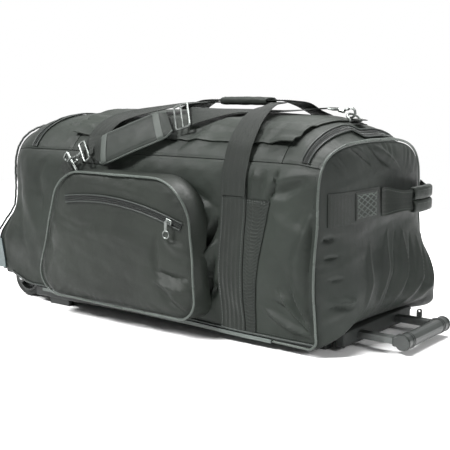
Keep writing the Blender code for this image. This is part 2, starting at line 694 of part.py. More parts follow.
# ---------------------------------------------------------------- carry webbing
WEB_LOW = GAP + 0.0004
front_ss = [0.015, *FRONT_SS[1:-1], SHOULDER_S - 0.012]
rear_ss = [HINGE_S + 0.020, *REAR_SS[1:-1], 3.985]
ABOVE_POCKET_S = 1.195
for label, x in (("right", WEB_RIGHT_X), ("left", WEB_LEFT_X)):
    xs = spread(x - WEB_WIDTH / 2, x + WEB_WIDTH / 2, 3)
    leg_ss = front_ss if label == "right" else [ABOVE_POCKET_S, 1.235, SHOULDER_S - 0.012]
    add("front_web_" + label, shell(xs, leg_ss, WEB_LOW, WEB_LOW + WEB), WEBBING)
    add("rear_web_" + label, shell(xs, rear_ss, WEB_LOW, WEB_LOW + WEB), WEBBING)

b0 = WEB_RIGHT_X + WEB_WIDTH / 2 + EDGE
outer_rows, inner_rows = [], []
for s in front_ss:
    width = 0.020 + 0.036 * (s / SHOULDER_S) ** 1.6
    outer_rows.append([lift(b0 + width * k, s, WEB_LOW + 0.0012) for k in (0.0, 0.5, 1.0)])
    inner_rows.append([lift(b0 + width * k, s, WEB_LOW) for k in (0.0, 0.5, 1.0)])
add("side_web", grid_body(outer_rows, inner_rows), WEBBING)

FREE_W = 0.028
UP = (0, 0, 1)
front_z, rear_z = 0.3965, 0.4010
front_loop = [(WEB_RIGHT_X, 1.290, 0.0030, 0.050), (0.2145, 1.40, 0.0110, 0.049), (0.209, 1.56, 0.0160, 0.044),
              (0.202, 1.70, 0.0190, 0.038), ((0.200, -0.050, 0.3925), (-0.1, -0.35, 0.93), 0.032),
              ((0.192, -0.012, front_z), UP, 0.029), ((0.182, 0.0, front_z), UP, FREE_W),
              ((0.150, 0.0, front_z), UP, FREE_W), ((0.085, 0.0, front_z), UP, FREE_W),
              ((0.050, 0.0, front_z), UP, FREE_W), ((0.040, -0.004, 0.3960), UP, FREE_W),
              ((0.005, -0.035, 0.3935), (0, -0.1, 1), 0.032), (-0.035, 1.760, 0.0145, 0.038),
              (-0.078, 1.640, 0.0130, 0.044), (-0.103, 1.540, 0.0125, 0.047), (-0.114, 1.420, 0.0090, 0.049),
              (WEB_LEFT_X, 1.290, 0.0030, 0.050)]
add("front_handle_loop", surface_ribbon(front_loop, WEB, 4), WEBBING)
rear_loop = [(WEB_RIGHT_X, 2.515, 0.0062, 0.050), (0.214, 2.42, 0.0120, 0.048), (0.208, 2.30, 0.0160, 0.042),
             ((0.202, 0.052, 0.3930), (-0.1, 0.35, 0.93), 0.034), ((0.194, 0.014, 0.4000), (0, 0.1, 1), 0.029),
             ((0.182, 0.0, rear_z), UP, FREE_W), ((0.150, 0.0, rear_z), UP, FREE_W),
             ((0.085, 0.0, rear_z), UP, FREE_W), ((0.050, 0.0, rear_z), UP, FREE_W),
             ((0.038, 0.006, 0.4005), UP, FREE_W), ((0.000, 0.034, 0.3970), (0, 0.1, 1), 0.032),
             (-0.050, 2.24, 0.0150, 0.040), (-0.090, 2.33, 0.0130, 0.045), (-0.111, 2.42, 0.0110, 0.048),
             (WEB_LEFT_X, 2.515, 0.0062, 0.050)]
add("rear_handle_loop", surface_ribbon(rear_loop, WEB, 4), WEBBING, hinge)

wrap_profile = fillet_outline([(-0.0195, WRAP_Z0, 0.004), (0.0195, WRAP_Z0, 0.004), (0.0195, WRAP_Z1, 0.004),
                               (-0.0195, WRAP_Z1, 0.004)], 3)
wrap_inside = fillet_outline([(-0.0165, 0.3946, 0.0015), (0.0165, 0.3946, 0.0015), (0.0165, 0.4042, 0.0015),
                              (-0.0165, 0.4042, 0.0015)], 3)
wrap_xs = spread(WRAP_X0, WRAP_X1, 2)
add("handle_wrap", grid_body([[Vector((x, y, z)) for y, z in wrap_profile] for x in wrap_xs],
                             [[Vector((x, y, z)) for y, z in wrap_inside] for x in wrap_xs], closed=True), PAD, hinge)

# ---------------------------------------------------------------- shoulder strap
STRAP_W = 0.040
strap_front = [(-0.1215, 1.298, 0.0118, STRAP_W), (-0.1070, 1.318, 0.0105, STRAP_W), ((-0.0850, -0.1703, 0.3060), (0.05, -0.87, 0.45), STRAP_W),
               ((-0.0650, -0.1682, 0.3126), (0.05, -0.87, 0.45), STRAP_W), ((-0.0125, -0.1573, 0.3344), (0.03, -0.86, 0.49), STRAP_W),
               ((0.0280, -0.1393, 0.3524), (0.03, -0.86, 0.49), STRAP_W), ((0.0470, -0.1285, 0.3612), (-0.02, -0.82, 0.57), STRAP_W)]
add("strap_front", surface_ribbon(strap_front, WEB, 4), WEBBING)
pad_line = [((-0.0860, -0.1785, 0.3098), (0.05, -0.87, 0.45), 0.048), ((-0.0810, -0.1780, 0.3115), (0.05, -0.87, 0.45), 0.056),
            ((-0.0650, -0.1760, 0.3170), (0.05, -0.87, 0.45), 0.060), ((-0.0123, -0.1648, 0.3385), (0.03, -0.86, 0.49), 0.060),
            ((0.0282, -0.1468, 0.3565), (0.03, -0.86, 0.49), 0.060), ((0.0390, -0.1400, 0.3622), (-0.02, -0.82, 0.57), 0.057),
            ((0.0436, -0.1365, 0.3645), (-0.02, -0.82, 0.57), 0.048)]
add("shoulder_pad", surface_ribbon(pad_line, 0.010, 3), PAD)


def frame_axes(x, s, offset, heading):
    """A matrix placed on the shell: local X along the heading (dx, ds direction), local Z along the normal."""
    here = lift(x, s, offset)
    ahead = body_point(x + heading[0] * 0.01, s + heading[1] * 0.05)
    z_axis = body_normal(x, s)
    x_axis = ahead - body_point(x, s)
    x_axis = (x_axis - z_axis * x_axis.dot(z_axis)).normalized()
    y_axis = z_axis.cross(x_axis)
    m = Matrix((x_axis, y_axis, z_axis)).transposed().to_4x4()
    m.translation = here
    return m


def placed(points, matrix):
    return [matrix @ Vector(p) for p in points]


def rectangle(length, width, corner=0.004, centre=0.0):
    a, b = length / 2, width / 2
    return [(centre + u, v, 0.0) for u, v in fillet_outline(
        [(-a, -b, corner), (a, -b, corner), (a, b, corner), (-a, b, corner)], 3)]


facing = Vector((0.15, -0.82, 0.55)).normalized()
along_strap = Vector((0.86, 0.40, 0.31))
along_strap = (along_strap - facing * along_strap.dot(facing)).normalized()
adjuster_at = Matrix((along_strap, facing.cross(along_strap), facing)).transposed().to_4x4()
adjuster_at.translation = Vector((0.0652, -0.1287, 0.3738))
adjuster = rod(placed(rectangle(0.026, 0.050), adjuster_at), 0.0021, True)
middle = rod(placed([(0.0, -0.025, 0.0), (0.0, 0.025, 0.0)], adjuster_at), 0.0018)
add("strap_adjuster", combine(adjuster, [middle], "UNION"), METAL)
strap_rear = [((0.0702, -0.1185, 0.3712), (0.15, -0.82, 0.55), STRAP_W), ((0.0885, -0.1118, 0.3768), (0.10, -0.72, 0.68), STRAP_W),
              (0.130, 1.760, 0.0120, STRAP_W), (0.165, 1.860, 0.0090, STRAP_W), (0.205, 1.960, 0.0090, STRAP_W),
              (0.250, 2.050, 0.0130, STRAP_W), (0.278, 2.065, 0.0165, STRAP_W)]
add("strap_rear", surface_ribbon(strap_rear, WEB, 4), WEBBING)


def snap_hook(matrix):
    """A swivel hook along local +X: flat eye for the webbing, a swivel barrel and the hook."""
    eye = rod(placed(rectangle(0.012, 0.044, 0.003), matrix), 0.0019, True)
    barrel = rod(placed([(0.006, 0, 0), (0.017, 0, 0)], matrix), 0.0042)
    hook = [(0.015, 0.0, 0.0), (0.020, 0.0, 0.004)]
    for k in range(9):
        turn = math.radians(150 - 36 * k)
        hook.append((0.030 + 0.0085 * math.cos(turn), 0.0, 0.0085 * math.sin(turn)))
    return combine(eye, [barrel, rod(placed(hook, matrix), 0.0022)], "UNION")


RING_LIFT = 0.0058
HOOK_LIFT = 0.0128
RING_TILT = Matrix.Rotation(math.radians(21), 4, "Y")
STRAP_HEADING = (-1.0, -0.68)
add("snap_hook_front", snap_hook(frame_axes(-0.1300, 1.262, HOOK_LIFT, STRAP_HEADING)), METAL)
add("snap_hook_rear", snap_hook(frame_axes(0.2895, 2.065, 0.0175, (1.0, 0.0))), METAL)

ring_at = frame_axes(-0.1690, 1.150, RING_LIFT, STRAP_HEADING) @ RING_TILT
add("strap_ring", rod(placed(rectangle(0.019, 0.048, 0.004, -0.0095), ring_at), 0.0020, True), METAL)
d_ring_at = frame_axes(0.3325, 2.065, RING_LIFT, (1.0, 0.0)) @ Matrix.Rotation(math.radians(42), 4, "Y")
arc = [(-0.007 + 0.0100 * math.cos(math.radians(a)), 0.019 * math.sin(math.radians(a)), 0.0)
       for a in range(90, 271, 20)]
add("d_ring", rod(placed([(0.0, 0.019, 0.0), *arc, (0.0, -0.019, 0.0)], d_ring_at), 0.0020, True), METAL)


def keeper(matrix, reach, width):
    """A short doubled webbing tab, folded round a ring's bar at the matrix's origin and running along local +X."""
    r = 0.0029 + WEB / 2
    turns = [math.radians(90 + 22.5 * k) for k in range(9)]
    path = [(reach, 0.0, r), (reach / 2, 0.0, r), *[(r * math.cos(a), 0.0, r * math.sin(a)) for a in turns],
            (reach / 2, 0.0, -r), (reach, 0.0, -r)]
    points = placed(path, matrix)
    across = matrix.to_3x3() @ Vector((0, 1, 0))
    normals = []
    for i in range(len(points)):
        tangent = (points[min(i + 1, len(points) - 1)] - points[max(i - 1, 0)]).normalized()
        normals.append(tangent.cross(across))
    return ribbon(points, normals, [width] * len(points), WEB)


TAB_TILT = Matrix.Rotation(math.radians(4), 4, "Y")
ring_tab_at = frame_axes(-0.1690, 1.150, RING_LIFT, STRAP_HEADING) @ TAB_TILT
add("ring_tab", keeper(ring_tab_at, 0.014, 0.030), WEBBING)
d_tab_at = frame_axes(0.3325, 2.065, RING_LIFT, (1.0, 0.0)) @ TAB_TILT
add("d_ring_tab", keeper(d_tab_at, 0.015, 0.028), WEBBING)

# ---------------------------------------------------------------- zips
track_xs = [LID_X0 + 0.002, *[x for x in XS if LID_X0 + 0.01 < x < LID_X1 - 0.01], LID_X1 - 0.002]
add("main_zip_track", shell(track_xs, spread(ZIP_S0, ZIP_S1, 3), GAP, GAP + 0.0012), ZIP)
add("handle_end_zip_track", shell([0.3500, 0.3550, 0.3605], arch_ss[1:-1], GAP + 0.0006, GAP + 0.0022), ZIP)
add("wheel_end_zip_track", shell([-0.2910, -0.2850, -0.2790], arch_ss[1:-1], GAP + 0.0006, GAP + 0.0022), ZIP)

slider_at = frame_axes(0.2700, (ZIP_S0 + ZIP_S1) / 2, 0.0035, (1.0, 0.0))
slider_body = block((-0.0060, -0.0040, 0.0), (0.0060, 0.0040, 0.0034), 0.0008, 1)
slider_body.transform(slider_at)
add("main_zip_slider", slider_body, METAL, slider_at.translation, smooth=False)

# ---------------------------------------------------------------- front pocket
def resampled(points, count):
    """The closed outline again, with evenly spaced points."""
    closed = [Vector(p) for p in points] + [Vector(points[0])]
    run = [0.0]
    for a, b in zip(closed, closed[1:]):
        run.append(run[-1] + (b - a).length)
    out = []
    i = 1
    for k in range(count):
        target = run[-1] * k / count
        while run[i] < target:
            i += 1
        t = (target - run[i - 1]) / max(run[i] - run[i - 1], 1e-9)
        out.append(tuple(closed[i - 1].lerp(closed[i], t)))
    return out


outline = resampled(fillet_outline(POCKET_CORNERS, 8), 42)
POCKET_MID = Vector((-0.030, 0.150))


def section_s(z):
    """The front section position for a height below the shoulder."""
    lo, hi = 0.0, 1.6
    for _ in range(40):
        mid = (lo + hi) / 2
        if body_point(0.0, mid).z < z:
            lo = mid
        else:
            hi = mid
    return (lo + hi) / 2


def wall_y(x, z):
    return body_point(x, section_s(z)).y


POCKET_FACE_Y = -0.2165
pocket_rings = ((1.035, 0.0), (1.0, 0.86), (0.965, 0.97), (0.90, 1.03), (0.70, 1.10), (0.2, 1.13))
BEHIND = 0.0026


def pocket_ring(scale, share, back):
    ring = []
    for u, v in outline:
        x = POCKET_MID.x + (u - POCKET_MID.x) * scale
        z = POCKET_MID.y + (v - POCKET_MID.y) * scale
        y0 = wall_y(x, z) - 0.0014
        if share > 0.9:
            y = POCKET_FACE_Y - (share - 0.86) * POCKET_DEPTH * 0.9
        else:
            y = y0 + (POCKET_FACE_Y - y0) * share / 0.86
        if back:
            inward = (POCKET_MID - Vector((x, z))).normalized() * min(back, 0.4 * (POCKET_MID - Vector((x, z))).length)
            x, z = x + inward.x, z + inward.y
            y = min(y + (back if share > 0 else 0.0), wall_y(x, z) - 0.0014)
        ring.append(Vector((x, y, z)))
    return ring


def capped_rings(outer, inner):
    bm = bmesh.new()
    n = len(outer[0])
    sheets = [[[bm.verts.new(p) for p in ring] for ring in rings] for rings in (outer, inner)]
    for sheet in sheets:
        for a, b in zip(sheet, sheet[1:]):
            for j in range(n):
                bm.faces.new((a[j], a[(j + 1) % n], b[(j + 1) % n], b[j]))
        bm.faces.new(sheet[-1])
    for j in range(n):
        bm.faces.new((sheets[0][0][j], sheets[1][0][j], sheets[1][0][(j + 1) % n], sheets[0][0][(j + 1) % n]))
    return to_mesh(bm)


add("pocket_shell", capped_rings([pocket_ring(scale, share, 0.0) for scale, share in pocket_rings],
                                 [pocket_ring(scale, share, BEHIND) for scale, share in pocket_rings]), NYLON)
pipe = []
for u, v in outline:
    away = (Vector((u, v)) - POCKET_MID).normalized() * 0.0016
    pipe.append(Vector((u + away.x, POCKET_FACE_Y - PIPE_R - 0.0014, v + away.y)))
add("pocket_piping", rod(pipe, 0.0026, True), PIPING)

ZIP_CENTRE_Z = POCKET_ZIP_TOP - POCKET_ZIP_R
FACE_FRONT = POCKET_FACE_Y - 0.27 * POCKET_DEPTH * 0.9


def zip_arc(radius, x0, x1, n, y):
    out = []
    for x in spread(x0, x1, n):
        turn = math.asin((x - POCKET_ZIP_X) / POCKET_ZIP_R)
        out.append(Vector((POCKET_ZIP_X + radius * math.sin(turn), y, ZIP_CENTRE_Z + radius * math.cos(turn))))
    return out


ZIP_Y = FACE_FRONT - GAP
ZIP_X0, ZIP_X1 = -0.118, 0.128
outer_rows = [zip_arc(POCKET_ZIP_R + d, ZIP_X0, ZIP_X1, 22, ZIP_Y - 0.0014) for d in (-0.007, 0.0, 0.007)]
inner_rows = [zip_arc(POCKET_ZIP_R + d, ZIP_X0, ZIP_X1, 22, ZIP_Y) for d in (-0.007, 0.0, 0.007)]
add("pocket_zip_track", grid_body(outer_rows, inner_rows), ZIP)
zip_pivot = (POCKET_ZIP_X, ZIP_Y - 0.0040, ZIP_CENTRE_Z)
rest_turn = math.asin((0.118 - POCKET_ZIP_X) / POCKET_ZIP_R)
slider_here = Matrix.Translation(Vector((POCKET_ZIP_X + POCKET_ZIP_R * math.sin(rest_turn), ZIP_Y - 0.0018,
                                         ZIP_CENTRE_Z + POCKET_ZIP_R * math.cos(rest_turn))))
slider_here = slider_here @ Matrix.Rotation(rest_turn, 4, "Y")
slider_mesh = block((-0.0065, -0.0030, -0.0045), (0.0065, 0.0, 0.0045), 0.0008, 1)
eyelet = block((-0.0030, -0.0062, -0.0008), (0.0030, -0.0024, 0.0008), 0.0, 1)
slider_mesh = combine(slider_mesh, [eyelet], "UNION")
slider_mesh.transform(slider_here)
add("pocket_zip_slider", slider_mesh, METAL, zip_pivot, smooth=False)
pull_at = slider_here @ Matrix.Translation((0.0, -0.0086, -0.0004)) @ Matrix.Rotation(-rest_turn, 4, "Y")
stem = fillet_outline([(-0.0028, -0.016, 0.001), (0.0028, -0.016, 0.001), (0.0028, 0.002, 0.001),
                       (-0.0028, 0.002, 0.001)], 2)
stem_mesh = extruded(stem, lambda u, v, side: Vector((u, -0.0008 + 0.0016 * side, v)))
ring_line = [(0.0065 * math.cos(math.tau * k / 18), 0.0, -0.0205 + 0.0065 * math.sin(math.tau * k / 18))
             for k in range(18)]
pull_mesh = combine(stem_mesh, [rod([Vector(p) for p in ring_line], 0.0011, True)], "UNION")
pull_mesh.transform(pull_at)
add("pocket_zip_pull", pull_mesh, METAL, pull_at @ Vector((0, 0, 0.001)), smooth=False)

# ---------------------------------------------------------------- handle-end webbing
def end_point(y, z, offset):
    return Vector((X_END + EDGE + SKIN + end_bulge(y, z, 1) + offset, y, z))


WEB_HALF = 0.026
band_zs = spread(END_WEB_Z - WEB_HALF, END_WEB_Z + WEB_HALF, 5)
PATCH_Y0, PATCH_Y1 = -0.092, -0.022


def end_layer(ys, zs, low, high):
    outer = [[end_point(y, z, high(y)) for z in zs] for y in ys]
    inner = [[end_point(y, z, low) for z in zs] for y in ys]
    return grid_body(outer, inner)


def end_web_top(y):
    """The band with the cross-stitched patch as a second layer on it."""
    return 0.0044 if PATCH_Y0 < y < PATCH_Y1 else 0.0022


band_ys = spread(-0.160, PATCH_Y0, 7) + spread(PATCH_Y0 + 0.0010, PATCH_Y1 - 0.0010, 7) + [PATCH_Y1, -0.010]
add("end_web", end_layer(band_ys, band_zs, 0.0009, end_web_top), WEBBING)
grab = []
for y, offset in ((-0.006, 0.0024), (0.008, 0.0060), (0.030, 0.0230), (0.060, 0.0330), (0.095, 0.0350),
                  (0.130, 0.0290), (0.150, 0.0150), (0.158, 0.0040)):
    base = end_point(y, END_WEB_Z, offset)
    grab.append((base, (1, 0, 0), 0.046 if offset < 0.01 else 0.034))
add("grab_handle", surface_ribbon(grab, WEB, 4), WEBBING)
WRAP_YS = spread(0.052, 0.118, 7)


def sleeve_ring(y, half_x, half_z):
    t = (y - 0.052) / 0.066
    centre = end_point(y, END_WEB_Z, 0.0312 + 0.0044 * math.sin(math.pi * min(max(t * 0.8 + 0.1, 0.0), 1.0)))
    ring = fillet_outline([(-half_x, -half_z, half_x * 0.6), (half_x, -half_z, half_x * 0.6),
                           (half_x, half_z, half_x * 0.6), (-half_x, half_z, half_x * 0.6)], 3)
    return [centre + Vector((u, 0, v)) for u, v in ring]


add("grab_wrap", grid_body([sleeve_ring(y, 0.0072, 0.0215) for y in WRAP_YS],
                           [sleeve_ring(y, 0.0046, 0.0190) for y in WRAP_YS], closed=True), PAD)

# ---------------------------------------------------------------- far corner tab
tab = fillet_outline([(-0.0045, 0.0040, 0.002), (0.0045, 0.0040, 0.002), (0.0045, 0.0205, 0.004),
                      (-0.0045, 0.0205, 0.004)], 3)
tab_mesh = extruded(tab, lambda u, v, side: Vector((0.3985 + u * 0.9, 0.150 + 0.0040 * side + u * 0.4, v)))
hole = disc(0.0022, 0.14, 0.17, 0.3985, 0.0165, 16)
add("corner_tab", combine(tab_mesh, [hole], "DIFFERENCE"), PLASTIC, smooth=False)

# ---------------------------------------------------------------- place the whole bag over the origin
bpy.context.view_layer.update()
low = Vector((1.0, 1.0, 1.0))
high = -low
for obj in collection.objects:
    if obj.type != "MESH":
        continue
    for vertex in obj.data.vertices:
        point = obj.matrix_world @ vertex.co
        low = Vector(map(min, low, point))
        high = Vector(map(max, high, point))
root.location = (-(low.x + high.x) / 2, -(low.y + high.y) / 2, -low.z)
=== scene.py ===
"""Looks of the rolling duffel bag: sewn nylon shell, webbing, zips, padded wraps, wheels and pull handle."""
import math

import bpy
import numpy as np
from mathutils import Matrix, Vector


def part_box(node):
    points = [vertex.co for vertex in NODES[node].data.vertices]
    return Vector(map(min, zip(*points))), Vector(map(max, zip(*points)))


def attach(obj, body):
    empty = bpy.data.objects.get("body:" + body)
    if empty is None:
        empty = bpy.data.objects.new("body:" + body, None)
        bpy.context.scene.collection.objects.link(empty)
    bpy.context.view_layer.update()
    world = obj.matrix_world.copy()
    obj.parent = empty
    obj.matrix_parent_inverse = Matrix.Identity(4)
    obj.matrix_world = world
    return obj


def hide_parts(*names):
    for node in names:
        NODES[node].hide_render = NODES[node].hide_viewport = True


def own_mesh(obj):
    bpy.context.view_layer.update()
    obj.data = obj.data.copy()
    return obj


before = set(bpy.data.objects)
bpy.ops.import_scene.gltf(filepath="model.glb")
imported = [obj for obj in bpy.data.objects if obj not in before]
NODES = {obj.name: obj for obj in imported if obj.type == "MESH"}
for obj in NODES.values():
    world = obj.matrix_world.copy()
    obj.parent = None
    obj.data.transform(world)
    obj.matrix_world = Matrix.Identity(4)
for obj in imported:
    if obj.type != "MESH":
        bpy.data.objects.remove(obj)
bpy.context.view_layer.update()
low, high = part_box("base_tray")
SHIFT = np.array((high[0] - 0.374, (low[1] + high[1]) / 2, 0.0))

# ---------------------------------------------------------------- the shell's shape, in bag coordinates
X_END = 0.375
SPRING_Z = 0.235
FLOOR_RISE = 0.022
FLOOR_Z = ((-0.375, 0.0335), (-0.28, 0.0335), (-0.05, 0.027), (0.1, 0.0235), (0.25, 0.0195), (0.375, 0.0175))
HALF_WIDTH = ((-0.375, 0.173), (-0.26, 0.176), (0.3, 0.176), (0.375, 0.173))
CROWN_Z = ((-0.375, 0.342), (-0.31, 0.366), (-0.18, 0.377), (0.12, 0.376), (0.27, 0.373), (0.335, 0.362),
           (0.375, 0.334))
CORNER_HEIGHT = ((-0.375, 0.334), (-0.29, 0.356), (0.31, 0.356), (0.375, 0.33))
POWER = ((-0.375, 3.4), (-0.28, 3.0), (0.3, 3.0), (0.375, 3.8))
SHOULDER_S, LID_S, LID_EDGE_S, HINGE_S = 1.285, 1.61, 1.43, 2.55
LID_X0, LID_X1 = -0.178, 0.3
SKIN, EDGE = 0.003, 0.0006
X_AXIS, Y_AXIS, Z_AXIS = np.eye(3)
OUTWARD_FRONT = (0.0, -1.0, 0.0)
rng = np.random.RandomState(11)


def ease(t):
    t = np.clip(t, 0.0, 1.0)
    return t * t * (3.0 - 2.0 * t)


def along(x, stations):
    xs, vs = np.array(stations).T
    i = np.clip(np.searchsorted(xs, x) - 1, 0, len(xs) - 2)
    return vs[i] + (vs[i + 1] - vs[i]) * ease((x - xs[i]) / (xs[i + 1] - xs[i]))


def floor_at(x):
    """Height of the side panels' bottom edge."""
    return along(x, FLOOR_Z) + FLOOR_RISE * (1.0 - ease((x + X_END) / 0.09))


def blunt(wave, power):
    """A sine or cosine pushed towards a square wave."""
    return np.sign(wave) * np.abs(wave) ** power


arches = {}


def arch(x):
    key = round(float(x), 5)
    if key not in arches:
        w, crown, corner, power = (along(x, t) for t in (HALF_WIDTH, CROWN_Z, CORNER_HEIGHT, POWER))
        turn = np.pi * np.arange(161) / 160
        c, s = np.cos(turn), np.sin(turn)
        y = -w * blunt(c, 2.0 / power)
        dome = (crown - corner) * (1 - (y / w) ** 2) ** 2
        z = SPRING_Z + (corner - SPRING_Z) * np.abs(s) ** (2.0 / power) + dome
        arches[key] = (y, z, np.concatenate([[0], np.cumsum(np.hypot(np.diff(y), np.diff(z)))]))
    return arches[key]


def place(X, S):
    """Points of the shell's outer face for arrays of x and s."""
    X, S = np.broadcast_arrays(np.clip(X, -X_END, X_END).astype(float), np.clip(S, 0.0, 4.0).astype(float))
    P = np.zeros(X.shape + (3,))
    side = np.where(S <= 1.0, -1.0, 1.0)
    k = np.where(S <= 1.0, S, 4.0 - S)
    floor = floor_at(X)
    z = floor + (SPRING_Z - floor) * k
    y = side * (along(X, HALF_WIDTH) + 0.01 * np.sin(np.pi * k) ** 2)
    mid = (S > 1.0) & (S < 3.0)
    for x in np.unique(np.round(X[mid], 5)):
        here = mid & (np.round(X, 5) == x)
        ay, az, run = arch(x)
        target = run[-1] * (S[here] - 1.0) / 2.0
        y[here] = np.interp(target, run, ay)
        z[here] = np.interp(target, run, az)
    narrow = np.maximum(0.0, (-0.25 - X) / 0.125)
    y = y * (1.0 - 0.26 * narrow ** 3 * ease((z - 0.115) / 0.075))
    P[..., 0], P[..., 1], P[..., 2] = X, y, z
    return P


def unit(v):
    return v / np.maximum(np.linalg.norm(v, axis=-1, keepdims=True), 1e-9)


def surface(X, S):
    X, S = np.broadcast_arrays(np.asarray(X, float), np.asarray(S, float))
    P = place(X, S)
    across = place(X + 0.004, S) - place(X - 0.004, S)
    around = place(X, S + 0.02) - place(X, S - 0.02)
    return P, unit(np.cross(across, around))


# ---------------------------------------------------------------- folds
def crease(U, V, line, depth, width):
    """Height of one fold along a polyline, fading at its ends. Negative depth is a valley."""
    best = np.full(U.shape, 1e9)
    share = np.zeros(U.shape)
    line = np.array(line, float)
    steps = np.hypot(*np.diff(line, axis=0).T)
    total, done = steps.sum(), 0.0
    for (a, b), step in zip(zip(line, line[1:]), steps):
        t = np.clip(((U - a[0]) * (b - a)[0] + (V - a[1]) * (b - a)[1]) / step ** 2, 0, 1)
        d = np.hypot(U - a[0] - t * (b - a)[0], V - a[1] - t * (b - a)[1])
        near = d < best
        best = np.where(near, d, best)
        share = np.where(near, (done + t * step) / total, share)
        done += step
    w = width * (0.45 + 0.55 * np.sin(np.pi * share))
    shape = np.exp(-(best / w) ** 2)
    return depth * shape * np.sin(np.pi * np.clip(share, 0.03, 0.97)) ** 0.6


def creases(folds, U, V):
    return sum(crease(U, V, *fold) for fold in folds)


FRONT_FOLDS = [  # lines of (x, z), depth, width
    ([(0.181, 0.206), (0.162, 0.172), (0.142, 0.145)], -0.015, 0.0075),
    ([(0.183, 0.168), (0.16, 0.143), (0.146, 0.12)], 0.006, 0.007),
    ([(0.181, 0.14), (0.168, 0.112), (0.16, 0.066)], -0.012, 0.0075),
    ([(0.184, 0.1), (0.172, 0.072)], -0.007, 0.006),
    ([(0.178, 0.236), (0.15, 0.216), (0.128, 0.214)], 0.003, 0.01),
    ([(0.1, 0.262), (0.14, 0.246), (0.18, 0.226)], -0.003, 0.007),
    ([(0.371, 0.24), (0.353, 0.198), (0.345, 0.154), (0.352, 0.1), (0.369, 0.046)], 0.0065, 0.013),
    ([(0.366, 0.236), (0.368, 0.16), (0.369, 0.08)], -0.004, 0.006),
    ([(0.374, 0.036), (0.344, 0.066), (0.31, 0.104)], 0.0075, 0.0065),
    ([(0.372, 0.04), (0.356, 0.076), (0.336, 0.124)], 0.006, 0.006),
    ([(0.368, 0.034), (0.326, 0.046), (0.28, 0.07)], 0.0065, 0.0065),
    ([(0.373, 0.036), (0.334, 0.068), (0.3, 0.084)], -0.0045, 0.0045),
    ([(0.373, 0.038), (0.348, 0.082), (0.326, 0.114)], -0.004, 0.004),
    ([(0.284, 0.255), (0.312, 0.262), (0.35, 0.28)], -0.0065, 0.01),
    ([(0.286, 0.272), (0.318, 0.282), (0.352, 0.292)], 0.0035, 0.01),
    ([(0.29, 0.225), (0.318, 0.205), (0.35, 0.198)], 0.002, 0.014),
    ([(0.29, 0.17), (0.318, 0.14), (0.338, 0.11)], -0.002, 0.012),
    ([(-0.3, 0.3), (-0.296, 0.22), (-0.262, 0.15)], 0.003, 0.02),
    ([(-0.334, 0.27), (-0.326, 0.2), (-0.3, 0.12)], -0.003, 0.014),
    ([(-0.352, 0.22), (-0.346, 0.15), (-0.36, 0.09)], 0.0028, 0.01),
    ([(-0.24, 0.292), (-0.262, 0.25), (-0.246, 0.19)], -0.0025, 0.01),
    ([(0.281, 0.238), (0.294, 0.272), (0.2985, 0.302)], -0.005, 0.0032),
    ([(0.25, 0.242), (0.254, 0.272), (0.256, 0.3)], 0.003, 0.005),
    ([(0.264, 0.244), (0.27, 0.27), (0.274, 0.3)], -0.0024, 0.0045),
]
END_FOLDS = [  # lines of (y, z) on the handle end, depth, width
    ([(-0.092, 0.334), (-0.06, 0.318), (-0.034, 0.3)], -0.005, 0.0045),
    ([(-0.004, 0.33), (0.03, 0.308), (0.066, 0.284)], 0.0045, 0.006),
    ([(-0.03, 0.33), (0.004, 0.306), (0.03, 0.292)], -0.003, 0.005),
    ([(-0.06, 0.066), (-0.02, 0.116), (0.02, 0.182)], 0.004, 0.006),
    ([(-0.02, 0.06), (0.03, 0.108), (0.07, 0.176)], 0.0052, 0.006),
    ([(0.02, 0.058), (0.074, 0.1), (0.12, 0.16)], 0.0052, 0.006),
    ([(0.06, 0.056), (0.11, 0.086), (0.15, 0.136)], 0.0045, 0.006),
    ([(-0.1, 0.066), (-0.07, 0.11), (-0.044, 0.17)], 0.0034, 0.007),
    ([(0.0, 0.058), (0.046, 0.104), (0.094, 0.17)], -0.004, 0.0045),
    ([(0.044, 0.058), (0.092, 0.094), (0.136, 0.15)], -0.0038, 0.0045),
    ([(-0.042, 0.062), (0.004, 0.112), (0.044, 0.178)], -0.0034, 0.0045),
    ([(-0.172, 0.188), (-0.142, 0.19)], -0.004, 0.0035),
    ([(-0.172, 0.158), (-0.14, 0.16)], -0.0036, 0.0035),
    ([(-0.171, 0.126), (-0.138, 0.126)], -0.003, 0.004),
    ([(-0.17, 0.094), (-0.122, 0.09)], 0.005, 0.004),
    ([(-0.17, 0.084), (-0.128, 0.08)], -0.0045, 0.004),
]
TOP_FOLDS = [  # lines of (x, y) over the lid and the ends, depth, width
    ([(-0.06, -0.17), (0.0, -0.11), (0.06, -0.06)], 0.003, 0.02),
    ([(0.08, -0.172), (0.13, -0.11), (0.176, -0.06)], 0.0036, 0.014),
    ([(0.06, -0.176), (0.11, -0.12), (0.15, -0.07)], -0.0026, 0.012),
    ([(0.246, -0.172), (0.25, -0.13), (0.262, -0.09)], 0.0012, 0.008),
    ([(0.258, -0.176), (0.264, -0.13), (0.276, -0.096)], -0.0008, 0.007),
    ([(-0.2, -0.165), (-0.19, -0.08), (-0.21, 0.01)], 0.0026, 0.018),
    ([(-0.03, 0.06), (0.04, 0.11), (0.12, 0.13)], -0.0026, 0.016),
    ([(0.1, 0.03), (0.17, 0.09), (0.23, 0.12)], 0.0026, 0.014),
    ([(-0.2, 0.05), (-0.15, 0.1), (-0.11, 0.15)], 0.003, 0.014),
    ([(-0.236, -0.11), (-0.206, -0.104), (-0.182, -0.108)], -0.006, 0.004),
]
FOLD_GAIN = 1.4
REAR_FOLDS = []
